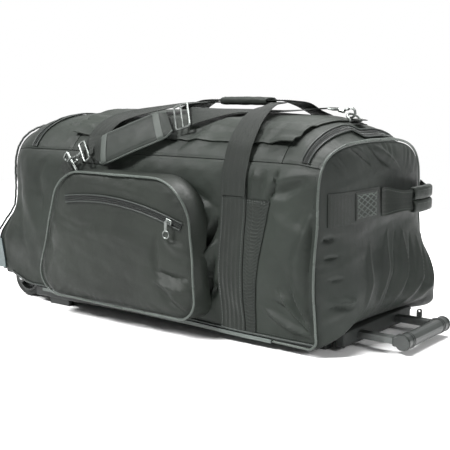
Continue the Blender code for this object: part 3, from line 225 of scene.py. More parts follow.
for k in range(26):
    x0, z0 = rng.uniform(-0.34, 0.34), rng.uniform(0.06, 0.28)
    turn, span = rng.uniform(0.9, 2.3), rng.uniform(0.05, 0.13)
    dx, dz = 0.5 * span * math.cos(turn), 0.5 * span * math.sin(turn)
    bow = rng.uniform(-0.012, 0.012)
    fold = [(x0 - dx, z0 - dz), (x0 + bow, z0), (x0 + dx, z0 + dz)]
    REAR_FOLDS.append((fold, rng.uniform(0.002, 0.005) * rng.choice((-1, 1)), rng.uniform(0.006, 0.014)))
WHEEL_FOLDS = []
for k in range(14):
    y0, z0 = rng.uniform(-0.13, 0.13), rng.uniform(0.1, 0.29)
    turn, span = rng.uniform(0.6, 2.5), rng.uniform(0.05, 0.12)
    dy, dz = 0.5 * span * math.cos(turn), 0.5 * span * math.sin(turn)
    WHEEL_FOLDS.append(([(y0 - dy, z0 - dz), (y0 + dy, z0 + dz)],
                        rng.uniform(0.002, 0.004) * rng.choice((-1, 1)),
                        rng.uniform(0.006, 0.013)))


def ripple(A, B, size, seed):
    """Smooth uneven swell, about -1 to 1."""
    spin = np.random.RandomState(seed)
    total = np.zeros(np.shape(A))
    for k in range(7):
        turn, phase = spin.uniform(0, 6.28), spin.uniform(0, 6.28)
        f = 6.28 / (size * spin.uniform(0.6, 1.7))
        swerve = 0.8 * np.sin(B * f * 0.6 + k)
        total = total + np.sin((A * math.cos(turn) + B * math.sin(turn)) * f + phase + swerve)
    return total / 4.5


def gathers(T, D, pitch, seed, reach=0.016):
    """Small puckers across a seam: T runs along the seam, D is the distance from it."""
    spin = np.random.RandomState(seed)
    phase = 2.2 * np.sin(T * 6.28 / (pitch * 5.3) + spin.uniform(0, 6))
    phase = phase + 1.3 * np.sin(T * 6.28 / (pitch * 2.7))
    power = 0.55 + 0.45 * np.sin(T * 6.28 / (pitch * 4.1) + spin.uniform(0, 6))
    return power * np.sin(T * 6.28 / pitch + phase) * np.exp(-(D / reach) ** 2)


def relief(P, S):
    """How far the cloth stands off the shell's even shape at points P, section positions S."""
    x, y, z = P[..., 0], P[..., 1], P[..., 2]
    rim = ease((X_END - np.abs(x)) / 0.014)
    floor = ease(S / 0.05) * ease((4.0 - S) / 0.05)
    front = 1.0 - ease((S - 1.18) / 0.1)
    rear = ease((S - 2.62) / 0.12)
    top = ease((S - 1.3) / 0.1) * (1.0 - ease((S - 2.5) / 0.1))
    out = np.zeros(x.shape)
    for folds, mask, a, b in ((FRONT_FOLDS, front, x, z), (REAR_FOLDS, rear, x, z), (TOP_FOLDS, top, x, y)):
        out = out + FOLD_GAIN * creases(folds, a, b) * mask
    out = out + 0.0016 * ripple(x, z, 0.11, 3) * (front + rear) + 0.0016 * ripple(x, y, 0.13, 5) * top
    out = out + 0.0006 * ripple(x, z, 0.034, 7) * (front + rear) + 0.0005 * ripple(x, y, 0.034, 8) * top
    out = out + 0.0011 * gathers(z + y, X_END - np.abs(x), 0.021, 9)
    out = out + 0.0008 * gathers(x, z - floor_at(x), 0.024, 10) * (front + rear)
    return out * rim * floor


def lifted(X, S, offset, share=1.0):
    P, N = surface(X, S)
    return P + N * (offset + share * relief(P, S))[..., None]


# ---------------------------------------------------------------- mesh builders
def put(name, data):
    obj = bpy.data.objects.new(name, data)
    bpy.context.scene.collection.objects.link(obj)
    return obj


def finish_mesh(name, points, faces, uv=None, sharp=40.0):
    mesh = bpy.data.meshes.new(name)
    points = np.asarray(points, float).reshape(-1, 3) + SHIFT
    mesh.from_pydata(points.tolist(), [], [tuple(f) for f in faces])
    mesh.validate()
    if uv is not None:
        layer = mesh.uv_layers.new(name="UVMap")
        corner = np.zeros(len(mesh.loops), int)
        mesh.loops.foreach_get("vertex_index", corner)
        layer.data.foreach_set("uv", np.asarray(uv, float).reshape(-1, 2)[corner].ravel())
    for polygon in mesh.polygons:
        polygon.use_smooth = True
    mesh.set_sharp_from_angle(angle=math.radians(sharp))
    return put(name, mesh)


def grid_faces(rows, columns, start=0, wrap=False, flip=False):
    last = columns if wrap else columns - 1
    i, j = np.meshgrid(np.arange(rows - 1), np.arange(last), indexing="ij")
    k = (j + 1) % columns
    quads = np.stack([i * columns + j, (i + 1) * columns + j, (i + 1) * columns + k, i * columns + k], -1)
    quads = quads.reshape(-1, 4) + start
    return quads[:, ::-1] if flip else quads


def lengths(G, axis):
    d = np.linalg.norm(np.diff(G, axis=axis), axis=-1)
    pad = [(0, 0), (0, 0)]
    pad[axis] = (1, 0)
    return np.cumsum(np.pad(d, pad), axis=axis)


def panel(name, outer, inner):
    """One closed cloth body between two grids of points."""
    rows, columns = outer.shape[:2]
    n = rows * columns
    faces = [grid_faces(rows, columns), grid_faces(rows, columns, n, flip=True)]
    rim = [i * columns for i in range(rows)] + [(rows - 1) * columns + j for j in range(1, columns)]
    rim += [i * columns + columns - 1 for i in range(rows - 2, -1, -1)] + list(range(columns - 2, 0, -1))
    rim = np.array(rim)
    after = np.roll(rim, -1)
    faces.append(np.stack([rim, rim + n, after + n, after], -1))
    uv = np.stack([lengths(outer, 0), lengths(outer, 1)], -1).reshape(-1, 2)
    points = np.concatenate([outer.reshape(-1, 3), inner.reshape(-1, 3)])
    return finish_mesh(name, points, np.concatenate(faces)[:, ::-1], np.concatenate([uv, uv]))


def run_along(p):
    """Distance from a path's first point to each of its points."""
    return np.concatenate([[0], np.cumsum(np.linalg.norm(np.diff(p, axis=0), axis=1))])


def capped_cover(name, outer, inner, uv):
    """Two skins of rings, joined round the first ring and closed over the last."""
    rows, count = outer.shape[:2]
    n = rows * count
    faces = [*grid_faces(rows, count, wrap=True), *grid_faces(rows, count, n, wrap=True, flip=True)]
    faces += [range(n - count, n), range(2 * n - 1, 2 * n - count - 1, -1)]
    faces += [(i, j, j + n, i + n) for i, j in zip(range(count), np.roll(np.arange(count), -1))]
    points = np.concatenate([outer.reshape(-1, 3), inner.reshape(-1, 3)])
    return finish_mesh(name, points, faces, np.concatenate([uv, uv]))


def smooth_path(points, step=0.003):
    """Evenly spaced points on a Catmull-Rom curve; columns beyond the third are carried along."""
    p = np.asarray(points, float)
    ext = np.concatenate([[2 * p[0] - p[1]], p, [2 * p[-1] - p[-2]]])
    out = []
    for i in range(1, len(ext) - 2):
        p0, p1, p2, p3 = ext[i - 1:i + 3]
        t = (np.arange(16) / 16)[:, None]
        out.append(0.5 * (2 * p1 + (p2 - p0) * t + (2 * p0 - 5 * p1 + 4 * p2 - p3) * t ** 2
                          + (3 * p1 - p0 - 3 * p2 + p3) * t ** 3))
    out = np.concatenate(out + [ext[-2:-1]])
    run = run_along(out[:, :3])
    even = np.linspace(0, run[-1], max(int(run[-1] / step), 3) + 1)
    return np.stack([np.interp(even, run, out[:, c]) for c in range(out.shape[1])], -1)


def tangents(p):
    return unit(np.gradient(p, axis=0))


def swept(name, rings, uv_u, uv_v, closed=False):
    """A body swept through rings of points; its ends are capped unless it closes on itself."""
    rows, columns = rings.shape[:2]
    faces = [*grid_faces(rows, columns, wrap=True)]
    if closed:
        a = np.arange(columns)
        b = (a + 1) % columns
        base = (rows - 1) * columns
        faces += [(base + i, i, j, base + j) for i, j in zip(a, b)]
    else:
        faces += [tuple(range(columns)), tuple((rows - 1) * columns + i for i in range(columns - 1, -1, -1))]
    uv = np.stack(np.broadcast_arrays(uv_u[None, :], uv_v[:, None]), -1).reshape(-1, 2)
    return finish_mesh(name, rings.reshape(-1, 3), faces, uv, 50.0)


def tube(name, path, radius, sides=10, closed=False):
    p = np.asarray(path, float)
    t = unit(np.roll(p, -1, 0) - np.roll(p, 1, 0)) if closed else tangents(p)
    n = np.zeros_like(p)
    guess = np.array((0.31, 0.52, 0.79))
    for i in range(len(p)):
        n[i] = unit(guess - t[i] * (guess @ t[i]))
        guess = n[i]
    b = np.cross(t, n)
    r = np.broadcast_to(radius, len(p))[:, None, None]
    a = 2 * np.pi * np.arange(sides) / sides
    rings = p[:, None] + r * (n[:, None] * np.cos(a)[None, :, None] + b[:, None] * np.sin(a)[None, :, None])
    run = run_along(p)
    return swept(name, rings, a * 0.003, run, closed)


def strap(name, points, normals, widths, thickness, across=9, curl=0.0):
    """Flat webbing along points with rounded selvedges; curl lifts its edges."""
    p, n = np.asarray(points, float), np.asarray(normals, float)
    t = tangents(p)
    side = unit(np.cross(n, t))
    up = np.cross(t, side)
    w = np.broadcast_to(widths, len(p))
    u = np.linspace(-1, 1, across)
    half = thickness / 2 * np.clip(1.0 - np.abs(u) ** 8 * 0.45, 0, 1)
    profile_u = np.concatenate([u, u[::-1]])
    profile_h = np.concatenate([half, -half[::-1]])
    profile_h = profile_h + curl * np.abs(profile_u) ** 3
    rings = p[:, None] + side[:, None] * (profile_u[None, :, None] * w[:, None, None] / 2)
    rings = rings + up[:, None] * profile_h[None, :, None]
    run = run_along(p)
    return swept(name, rings, profile_u * float(np.mean(w)) / 2, run), (p, side, up, w)


threads = {}


def stitches(key, path, normals, pitch=0.004, size=0.00045, length=0.0026, slant=0.0):
    """Small thread loops along a path, collected by key into one piece."""
    p = smooth_path(np.concatenate([path, np.broadcast_to(normals, np.shape(path))], 1), pitch)
    t = tangents(p[:, :3])
    n = unit(p[:, 3:6])
    b = np.cross(t, n)
    t = unit(t + b * slant)
    b = np.cross(t, n)
    at = p[:, :3]
    verts = np.stack([at - t * length / 2 - n * size * 0.6, at + b * size, at + n * size, at - b * size,
                      at - n * size * 0.8, at + t * length / 2 - n * size * 0.6], 1)
    threads.setdefault(key, []).append(verts.reshape(-1, 3))


def make_threads():
    made = []
    faces = np.array([(0, 1, 2), (0, 2, 3), (0, 3, 4), (0, 4, 1), (5, 2, 1), (5, 3, 2), (5, 4, 3), (5, 1, 4)])
    for key, parts in threads.items():
        points = np.concatenate(parts)
        count = len(points) // 6
        all_faces = (faces[None] + 6 * np.arange(count)[:, None, None]).reshape(-1, 3)
        flat_uv = np.zeros((len(points), 2))
        made.append((key, finish_mesh("stitching_" + key, points, all_faces, flat_uv, 80.0)))
    return made


# ---------------------------------------------------------------- materials
def graph(name, rough, metallic=0.0, **constants):
    made = bpy.data.materials.new(name)
    made.use_nodes = True
    tree = made.node_tree
    shader = tree.nodes["Principled BSDF"]
    shader.inputs["Roughness"].default_value = rough
    shader.inputs["Metallic"].default_value = metallic
    for key, value in constants.items():
        shader.inputs[key.replace("_", " ")].default_value = value
    return made, tree, shader


def node(tree, kind, values=(), **props):
    made = tree.nodes.new(kind)
    for key, value in props.items():
        setattr(made, key, value)
    for slot, value in values:
        if hasattr(value, "is_output"):
            tree.links.new(value, made.inputs[slot])
        else:
            made.inputs[slot].default_value = value
    return made


def math_node(tree, operation, a, b=0.0, clamp=False):
    return node(tree, "ShaderNodeMath", ((0, a), (1, b)), operation=operation, use_clamp=clamp).outputs[0]


def noise(tree, vector, scale, detail=3.0, rough=0.5):
    values = (("Vector", vector), ("Scale", scale), ("Detail", detail), ("Roughness", rough))
    return node(tree, "ShaderNodeTexNoise", values).outputs["Fac"]


def ramp(tree, value, low, high, a=0.0, b=1.0):
    values = (("Value", value), ("From Min", low), ("From Max", high), ("To Min", a), ("To Max", b))
    return node(tree, "ShaderNodeMapRange", values).outputs["Result"]


def tint(tree, base, share, other):
    made = node(tree, "ShaderNodeMix", data_type="RGBA")
    for slot, value in (("Factor", share), ("A", base), ("B", other)):
        socket = [s for s in made.inputs if s.name == slot and s.type in ("VALUE", "RGBA")]
        socket = socket[-1] if slot != "Factor" else [s for s in socket if s.type == "VALUE"][0]
        if hasattr(value, "is_output"):
            tree.links.new(value, socket)
        elif slot == "Factor":
            socket.default_value = value
        else:
            socket.default_value = (*value, 1.0)
    return [s for s in made.outputs if s.type == "RGBA"][0]


def finish_look(tree, shader, base, gloss, layers):
    """Links colour and roughness, then stacks bump layers: (height, strength, distance)."""
    tree.links.new(base, shader.inputs["Base Color"])
    tree.links.new(gloss, shader.inputs["Roughness"])
    normal = None
    for height, strength, distance in layers:
        values = [("Height", height), ("Strength", strength), ("Distance", distance)]
        if normal is not None:
            values.append(("Normal", normal))
        normal = node(tree, "ShaderNodeBump", values).outputs["Normal"]
    tree.links.new(normal, shader.inputs["Normal"])


def shades(colour, k):
    return tuple(min(c * k, 1.0) for c in colour)


def waves(tree, coordinate, pitch, shift=0.0):
    turns = math_node(tree, "MULTIPLY", coordinate, 6.2832 / pitch)
    return math_node(tree, "SINE", math_node(tree, "ADD", turns, shift))


def stretched(tree, vector, scale):
    return node(tree, "ShaderNodeMapping", (("Vector", vector), ("Scale", scale))).outputs[0]


def cloth(name, colour, rough=0.5, weave=0.0011, crush=0.5, sheen=0.02, dark=0.66, light=1.2):
    """Coated woven cloth: a plain weave with painted shade in its dips, crushed creasing, a worn and a fresh
    tone, a little dust.
    """
    made, tree, shader = graph(name, rough, Sheen_Weight=sheen, Sheen_Roughness=0.5, Specular_IOR_Level=0.3)
    where = node(tree, "ShaderNodeTexCoord")
    split = node(tree, "ShaderNodeSeparateXYZ", ((0, where.outputs["UV"]),))
    body = where.outputs["Object"]
    over = waves(tree, split.outputs["X"], weave)
    under = waves(tree, split.outputs["Y"], weave)
    threads_up = math_node(tree, "MULTIPLY", over, under)
    broad = noise(tree, body, 7.0, 3.0)
    middle = noise(tree, body, 38.0, 4.0, 0.6)
    fine = noise(tree, body, 420.0, 3.0, 0.7)
    base = tint(tree, shades(colour, dark), ramp(tree, broad, 0.32, 0.68), shades(colour, light))
    base = tint(tree, base, ramp(tree, middle, 0.52, 0.8, 0.0, 0.35), shades(colour, 1.5))
    # Painted shade: the weave's low points darken towards 0.45 of the colour.
    base = tint(tree, base, ramp(tree, threads_up, -1.0, 1.0, 0.3, 0.0), shades(colour, 0.45))
    base = tint(tree, base, ramp(tree, fine, 0.6, 0.85, 0.0, 0.3), shades(colour, 2.0))
    gloss = ramp(tree, middle, 0.3, 0.72, rough - 0.09, rough + 0.1)
    cell = node(tree, "ShaderNodeTexVoronoi", (("Vector", body), ("Scale", 62.0)), feature="SMOOTH_F1")
    layers = [(noise(tree, body, 24.0, 5.0, 0.62), 0.55 * crush, 0.006),
              (cell.outputs["Distance"], 0.1 * crush, 0.003),
              (threads_up, 0.22, 0.00025), (fine, 0.1, 0.0003)]
    finish_look(tree, shader, base, gloss, layers)
    return made


def woven(name, colour, rough=0.7, pitch=0.0022, column=0.0044, ladder=0.0):
    """Heavy webbing: a herringbone of slanted ribs, the columns' edges showing, painted shade in the low
    parts.
    """
    made, tree, shader = graph(name, rough, Sheen_Weight=0.12, Sheen_Roughness=0.4, Specular_IOR_Level=0.3)
    where = node(tree, "ShaderNodeTexCoord")
    split = node(tree, "ShaderNodeSeparateXYZ", ((0, where.outputs["UV"]),))
    u, v = split.outputs["X"], split.outputs["Y"]
    zigzag = math_node(tree, "PINGPONG", u, column)
    slant = math_node(tree, "ADD", v, math_node(tree, "MULTIPLY", zigzag, 0.0 if ladder else 0.9))
    rib = waves(tree, slant, pitch)
    edge = math_node(tree, "ABSOLUTE", waves(tree, u, 2 * column))
    height = math_node(tree, "MULTIPLY", ramp(tree, rib, -0.7, 0.9), ramp(tree, edge, 0.0, 0.35, 0.35, 1.0))
    body = where.outputs["Object"]
    broad = noise(tree, body, 9.0, 3.0)
    fuzz = noise(tree, body, 520.0, 3.0, 0.7)
    base = tint(tree, shades(colour, 0.78), ramp(tree, broad, 0.3, 0.7), shades(colour, 1.2))
    # Painted shade: the low parts between ribs and at the columns' edges darken towards 0.4 of the colour.
    base = tint(tree, base, ramp(tree, height, 0.0, 1.0, 0.62, 0.0), shades(colour, 0.4))
    base = tint(tree, base, ramp(tree, fuzz, 0.58, 0.82, 0.0, 0.4), shades(colour, 2.1))
    gloss = ramp(tree, fuzz, 0.3, 0.7, rough - 0.08, rough + 0.1)
    layers = [(noise(tree, body, 30.0, 3.0), 0.25, 0.003), (height, 0.75, 0.0006), (fuzz, 0.15, 0.0003)]
    finish_look(tree, shader, base, gloss, layers)
    return made


def moulded(name, colour, rough=0.45, grain=900.0, coat=0.0, wear=0.35):
    made, tree, shader = graph(name, rough, Coat_Weight=coat, Coat_Roughness=0.2)
    body = node(tree, "ShaderNodeTexCoord").outputs["Object"]
    broad = noise(tree, body, 26.0, 4.0, 0.6)
    fine = noise(tree, body, grain, 2.0)
    scuff = noise(tree, stretched(tree, body, (14.0, 160.0, 60.0)), 2.2, 5.0, 0.7)
    base = tint(tree, shades(colour, 0.75), ramp(tree, broad, 0.35, 0.65), shades(colour, 1.2))
    base = tint(tree, base, ramp(tree, scuff, 0.6, 0.78, 0.0, wear), shades(colour, 3.2))
    gloss = ramp(tree, broad, 0.3, 0.7, rough - 0.08, rough + 0.1)
    finish_look(tree, shader, base, gloss, [(fine, 0.35, 0.0003), (scuff, 0.1, 0.0004)])
    return made


def metal(name, colour, rough=0.28, brushed=(60.0, 900.0, 900.0), metallic=1.0):
    made, tree, shader = graph(name, rough, metallic)
    body = node(tree, "ShaderNodeTexCoord").outputs["Object"]
    broad = noise(tree, body, 60.0, 4.0, 0.6)
    lines = noise(tree, stretched(tree, body, brushed), 1.0, 3.0, 0.6)
    base = tint(tree, shades(colour, 0.7), ramp(tree, broad, 0.3, 0.7), shades(colour, 1.15))
    gloss = ramp(tree, broad, 0.3, 0.7, rough - 0.07, rough + 0.12)
    finish_look(tree, shader, base, gloss, [(lines, 0.12, 0.0002)])
    return made


NYLON = cloth("nylon_charcoal", (0.0154, 0.0204, 0.0159), 0.55)
# The end panels' nylon is a darker copy of the side nylon: painted shade for the end faces, turned away from
# the key light.
NYLON_END_PAINTED_SHADE = cloth("nylon_charcoal_end_painted_shade", (0.0119, 0.016, 0.0127), 0.55, crush=0.4)
# The lid's nylon is a lighter copy of the side nylon: painted light on the top, which faces the light from
# above.
NYLON_LID_PAINTED_LIGHT = cloth("nylon_charcoal_lid", (0.0183, 0.0236, 0.0186), 0.56)
# The pocket's nylon is a darker copy of the side nylon: painted shade on the pocket front.
POCKET_CLOTH_PAINTED_SHADE = cloth("nylon_pocket_painted_shade", (0.0139, 0.0176, 0.0138), 0.54, crush=0.45)
PAD_CLOTH = cloth("pad_cover", (0.0148, 0.0194, 0.0155), 0.6, weave=0.0016, crush=0.3)
BINDING = cloth("edge_binding", (0.065, 0.0762, 0.0679), 0.55, weave=0.0013, crush=0.2)
PIPE = cloth("piping_cover", (0.075, 0.0887, 0.0788), 0.3, weave=0.0016, crush=0.15, sheen=0.05)
PIPE_DARK = cloth("piping_cover_dark", (0.0291, 0.0355, 0.0319), 0.38, weave=0.0016, crush=0.15, sheen=0.05)
WEBBING = woven("webbing", (0.0127, 0.0165, 0.0131))
LADDER = woven("webbing_ladder", (0.0126, 0.0164, 0.0131), pitch=0.0062, column=0.01, ladder=1.0)
TAPE = woven("zip_tape", (0.0103, 0.0125, 0.0111), 0.62, pitch=0.0011, column=0.0016)
COIL = moulded("zip_coil", (0.0388, 0.0465, 0.042), 0.35, wear=0.2)
THREAD = cloth("thread", (0.0338, 0.0408, 0.037), 0.55, crush=0.1)
THREAD_LIGHT = cloth("thread_light", (0.1485, 0.1701, 0.1566), 0.55, crush=0.1)
PLASTIC = moulded("moulded_plastic", (0.0132, 0.016, 0.0147), 0.42)
GRIP = moulded("grip_plastic", (0.026, 0.03, 0.028), 0.38, grain=700.0)
RAIL = moulded("rail_plastic", (0.094, 0.1104, 0.1019), 0.4)
GUARD = moulded("guard_plastic", (0.0612, 0.089, 0.0907), 0.18, coat=0.4)
RUBBER = moulded("tyre_rubber", (0.015, 0.0177, 0.0161), 0.7, grain=500.0, wear=0.5)
DARK_METAL = metal("dark_plate", (0.22, 0.235, 0.225), 0.42)
ALLOY = metal("dark_alloy", (0.16, 0.17, 0.165), 0.42, brushed=(40.0, 1200.0, 1200.0))
STEEL = metal("axle_steel", (0.55, 0.56, 0.56), 0.33)


def dress(obj, look, slot, *replaced, body="bag"):
    obj.data.materials.clear()
    obj.data.materials.append(look)
    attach(obj, body)
    if replaced:
        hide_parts(*replaced)
    return obj


RIGID = ((STEEL, ("axle_",)), (ALLOY, ("arm_", "handle_frame")),
         (PLASTIC, ("base_tray", "release_trigger", "wheel_housing")),
         (RUBBER, ("exit_bezel", "tyre_")), (GRIP, ("grip_bar", "corner_tab", "wheel_hub")),
         (GUARD, ("corner_guard",)),
         (RAIL, ("skid_rail",)),
         (DARK_METAL, ("d_ring", "strap_ring", "snap_hook", "strap_adjuster", "main_zip_slider",
                       "pocket_zip_slider",
                       "pocket_zip_pull")))
for name, obj in NODES.items():
    for look, prefixes in RIGID:
        if name.startswith(prefixes) and name != "d_ring_tab":
            for slot in obj.material_slots:
                slot.material = look


# ---------------------------------------------------------------- shell panels
def share_of(outline, centre, A, B):
    """Distance of (A, B) from the centre as a share of the way out to the outline."""
    d = outline - centre
    turn = np.arctan2(d[:, 1], d[:, 0])
    order = np.argsort(turn)
    towards = np.arctan2(B - centre[1], A - centre[0])
    reach = np.interp(towards, turn[order], np.hypot(*d.T)[order], period=2 * np.pi)
    return np.hypot(A - centre[0], B - centre[1]) / reach


def edge_distance(G):
    a, b = lengths(G, 0), lengths(G, 1)
    return np.minimum(np.minimum(a, a[-1:] - a), np.minimum(b, b[:, -1:] - b))


def shell_piece(name, xs, ss, low, high, tuck=0.0016, share=1.0):
    """A layer over the shell; its edges turn down into the seams."""
    X, S = np.meshgrid(xs, ss, indexing="ij")
    P, N = surface(X, S)
    down = -tuck * np.exp(-edge_distance(P) / 0.0035)
    stand = share * relief(P, S) + down
    low_at = low(X, S) if callable(low) else low
    high_at = high(X, S) if callable(high) else high
    return panel(name, P + N * (stand + high_at)[..., None], P + N * (stand + low_at)[..., None])


def topstitch(key, X, S, offset, pitch=0.0042, **extra):
    """A stitched line lying on the shell."""
    X, S = np.broadcast_arrays(np.asarray(X, float), np.asarray(S, float))
    P, N = surface(X, S)
    stitches(key, P + N * (offset + relief(P, S))[..., None], N, pitch, **extra)


steps_x = np.linspace(-X_END, X_END, 232)
arch_ss = np.linspace(SHOULDER_S + 0.002, HINGE_S + 0.004, 170)
for name, xs, ss, tuck, node_name in (
        ("shell_front", steps_x, np.linspace(0.0, SHOULDER_S - 0.002, 92), 0.0016, "front_panel"),
        ("shell_rear", steps_x, np.linspace(HINGE_S + 0.01, 4.0, 100), 0.0016, "rear_panel"),
        ("shell_shoulder", np.linspace(LID_X0 + EDGE, LID_X1 - EDGE, 150),
         np.linspace(SHOULDER_S + 0.002, LID_S, 24), 0.001, "front_shoulder"),
        ("shell_handle_end_top", np.linspace(LID_X1 + EDGE, X_END, 30), arch_ss, 0.001, "handle_end_top"),
        ("shell_wheel_end_top", np.linspace(-X_END, LID_X0 - EDGE, 46), arch_ss, 0.001, "wheel_end_top")):
    dress(shell_piece(name, xs, ss, -SKIN, 0.0, tuck), NYLON, "nylon", node_name)
rim_s = np.linspace(0.06, 3.94, 400)
for x in (-0.367, 0.367):
    topstitch("bag", x, rim_s, 0.0003)
for s in (SHOULDER_S - 0.022, SHOULDER_S + 0.02):
    topstitch("bag", np.linspace(-0.366, 0.366, 200), s, 0.0002)
topstitch("bag", np.linspace(-0.366, 0.366, 200), HINGE_S + 0.03, 0.0002)
for s in (0.035, 3.965):
    topstitch("bag", np.linspace(-0.345, 0.366, 200), s, 0.0002)


# ---------------------------------------------------------------- lid with its storm flap
def flap_lift(X, S):
    over_zip = 0.0042 * ease((S - 1.49) / 0.06) * ease((1.71 - S) / 0.09)
    right = 0.009 * ease((X - 0.256) / 0.04) * ease((1.53 - S) / 0.1)
    left = 0.006 * ease((-0.15 - X) / 0.034) * ease((1.58 - S) / 0.1)
    return 0.0022 + over_zip + right + left


lid_xs = np.linspace(LID_X0 - 0.012, LID_X1 + 0.012, 178)
lid_ss = np.concatenate([np.linspace(LID_EDGE_S - 0.01, 1.72, 58), np.linspace(1.732, HINGE_S, 106)])
lid = shell_piece("lid_cover", lid_xs, lid_ss, flap_lift, lambda X, S: flap_lift(X, S) + 0.0022, 0.0006)
# The lid takes the lighter nylon, painted light.
dress(lid, NYLON_LID_PAINTED_LIGHT, "nylon", "lid_panel", body="lid")


def lid_line(X, S):
    X, S = np.broadcast_arrays(np.asarray(X, float), np.asarray(S, float))
    P, N = surface(X, S)
    stitches("lid", P + N * (flap_lift(X, S) + 0.0024 + relief(P, S))[..., None], N, 0.0042)


lid_line(np.linspace(LID_X0 - 0.007, LID_X1 + 0.007, 160), LID_EDGE_S + 0.016)
for x in (LID_X0 - 0.007, LID_X0 + 0.006, LID_X1 - 0.006, LID_X1 + 0.007):
    lid_line(x, np.linspace(LID_EDGE_S + 0.016, 2.53, 200))

# ---------------------------------------------------------------- end panels
END_CENTRE = np.array((0.0, 0.165))
BULGE = {1: (0.016, 0.042), -1: (0.014, 0.024)}
BELLY = 0.022
BEZEL_CLEAR_Z = 0.0345
outlines = {}
for side in (1, -1):
    ring = place(side * X_END, np.linspace(0, 4, 241))[:, 1:]
    floor_run = ring[-1] + (ring[0] - ring[-1]) * np.linspace(0, 1, 50)[1:-1, None]
    y, z = floor_run.T
    floor_run[:, 1] = np.maximum(z, z + (BEZEL_CLEAR_Z - z) * ease((0.172 - np.abs(y)) / 0.045))
    outlines[side] = np.concatenate([ring, floor_run])


def end_relief(Y, Z, side, share):
    out = FOLD_GAIN * creases(END_FOLDS if side > 0 else WHEEL_FOLDS, Y, Z)
    out = out + 0.002 * ripple(Y, Z, 0.1, 21 + side) + 0.0006 * ripple(Y, Z, 0.033, 25 + side)
    round_rim = np.arctan2(Z - END_CENTRE[1], Y - END_CENTRE[0]) * 0.19
    out = out + 0.0015 * gathers(round_rim, (1.0 - share) * 0.17, 0.023, 27 + side, 0.026)
    band = 1.0
    if side > 0:
        band = ease((np.abs(Z - 0.235) - 0.024) / 0.02)
        band = np.maximum(band, ease((Y - 0.17) / 0.004))
    return out * band * ease((1.0 - share) / 0.05)


def end_x(Y, Z, side, offset=0.0):
    Y, Z = np.broadcast_arrays(np.asarray(Y, float), np.asarray(Z, float))
    share = share_of(outlines[side], END_CENTRE, Y, Z)
    high_part, low_part = BULGE[side]
    lowness = ease((0.2 - Z) / 0.13)
    handle_end = 1.0 if side > 0 else 0.0
    low_part = low_part + handle_end * BELLY * ease((Y + 0.06) / 0.16)
    amount = high_part + (low_part - high_part) * lowness
    bulge = amount * np.maximum(0.0, 1.0 - np.minimum(share, 1.0) ** (5.0 + 3.0 * handle_end * lowness))
    return side * (X_END + EDGE + SKIN + bulge + offset + end_relief(Y, Z, side, share))


def end_points(Y, Z, side, offset=0.0):
    Y, Z = np.broadcast_arrays(np.asarray(Y, float), np.asarray(Z, float))
    return np.stack([end_x(Y, Z, side, offset), Y, Z], -1)


def end_cover(name, side):
    shares = np.concatenate([[1.0, 0.992, 0.982], np.linspace(0.968, 0.02, 56)])
    ring = outlines[side]
    flat = END_CENTRE + (ring - END_CENTRE)[None] * shares[:, None, None]
    tuck = -0.0018 * np.exp(-(1.0 - shares) / 0.02)[:, None]
    outer = end_points(flat[..., 0], flat[..., 1], side, tuck)
    inner = outer - np.array((side * SKIN, 0.0, 0.0))
    return capped_cover(name, outer, inner, flat.reshape(-1, 2))


# Both end covers take the darker nylon, painted shade.
dress(end_cover("handle_end_cover", 1), NYLON_END_PAINTED_SHADE, "nylon", "handle_end_panel")
dress(end_cover("wheel_end_cover", -1), NYLON_END_PAINTED_SHADE, "nylon", "wheel_end_panel")

# ---------------------------------------------------------------- piping
for side, name, s0, s1, look in ((1, "handle_end_piping", 0.03, 3.97, PIPE),
                                 (-1, "wheel_end_piping", 0.4375, 3.5625, PIPE_DARK)):
    s = np.linspace(s0, s1, 300)
    at = place(side * X_END, s)
    run = unit(place(side * X_END, s + 0.02) - place(side * X_END, s - 0.02))
    out = unit(np.stack([np.zeros(300), -run[:, 2], run[:, 1]], -1))
    path = at + out * (0.004 if side > 0 else 0.0052) + np.array((side * 0.002, 0, 0))
    path = path + out * (0.0003 * np.sin(s * 60) + 0.0002 * np.sin(s * 137 + 1))[:, None]
    if side > 0:
        xs = np.linspace(0.296, 0.366, 8)
        turn = np.stack([xs, -0.1762 + 0 * xs, floor_at(xs) - 0.004], -1)
        path = smooth_path(np.concatenate([turn, path[::6], turn[::-1] * (1, -1, 1)]), 0.004)
    dress(tube(name + "_cord", path, 0.0021, 12), look, "piping", name)
for side, s0 in (("front", 0.012), ("rear", 3.988)):
    xs = np.linspace(-0.35, 0.372, 240)
    dress(tube("bottom_piping_" + side, lifted(xs, s0, 0.001), 0.002, 8), PIPE_DARK, "piping")

# ---------------------------------------------------------------- end and main zips
def zip_line(centre, normal, tape_name, node_name, tape_width=0.012, ridge=True):
    """Tape, coil and turned fabric edges along one zip; centre(offset across, height) gives its path."""
    steps = np.linspace(-0.5, 0.5, 7) * tape_width
    crown = (0.0, 0.0003, 0.0004, 0.0006, 0.0004, 0.0003, 0.0)
    outer = np.stack([centre(u, h) for u, h in zip(steps, crown)], 0)
    inner = np.stack([centre(u, -0.0006) for u in steps], 0)
    dress(panel(tape_name, outer, inner), TAPE, "zip_tape", node_name)
    for sign in (-1, 1):
        path = centre(sign * 0.0011, 0.001)
        stitches("coil_bag", path, normal, 0.0016, 0.00075, 0.0012, slant=sign * 0.3)
        if ridge:
            edge = smooth_path(centre(sign * 0.006, 0.0012), 0.004)
            letter = "a" if sign < 0 else "b"
            dress(tube(f"{tape_name}_edge_{letter}", edge, 0.0014, 8), PIPE_DARK, "nylon")


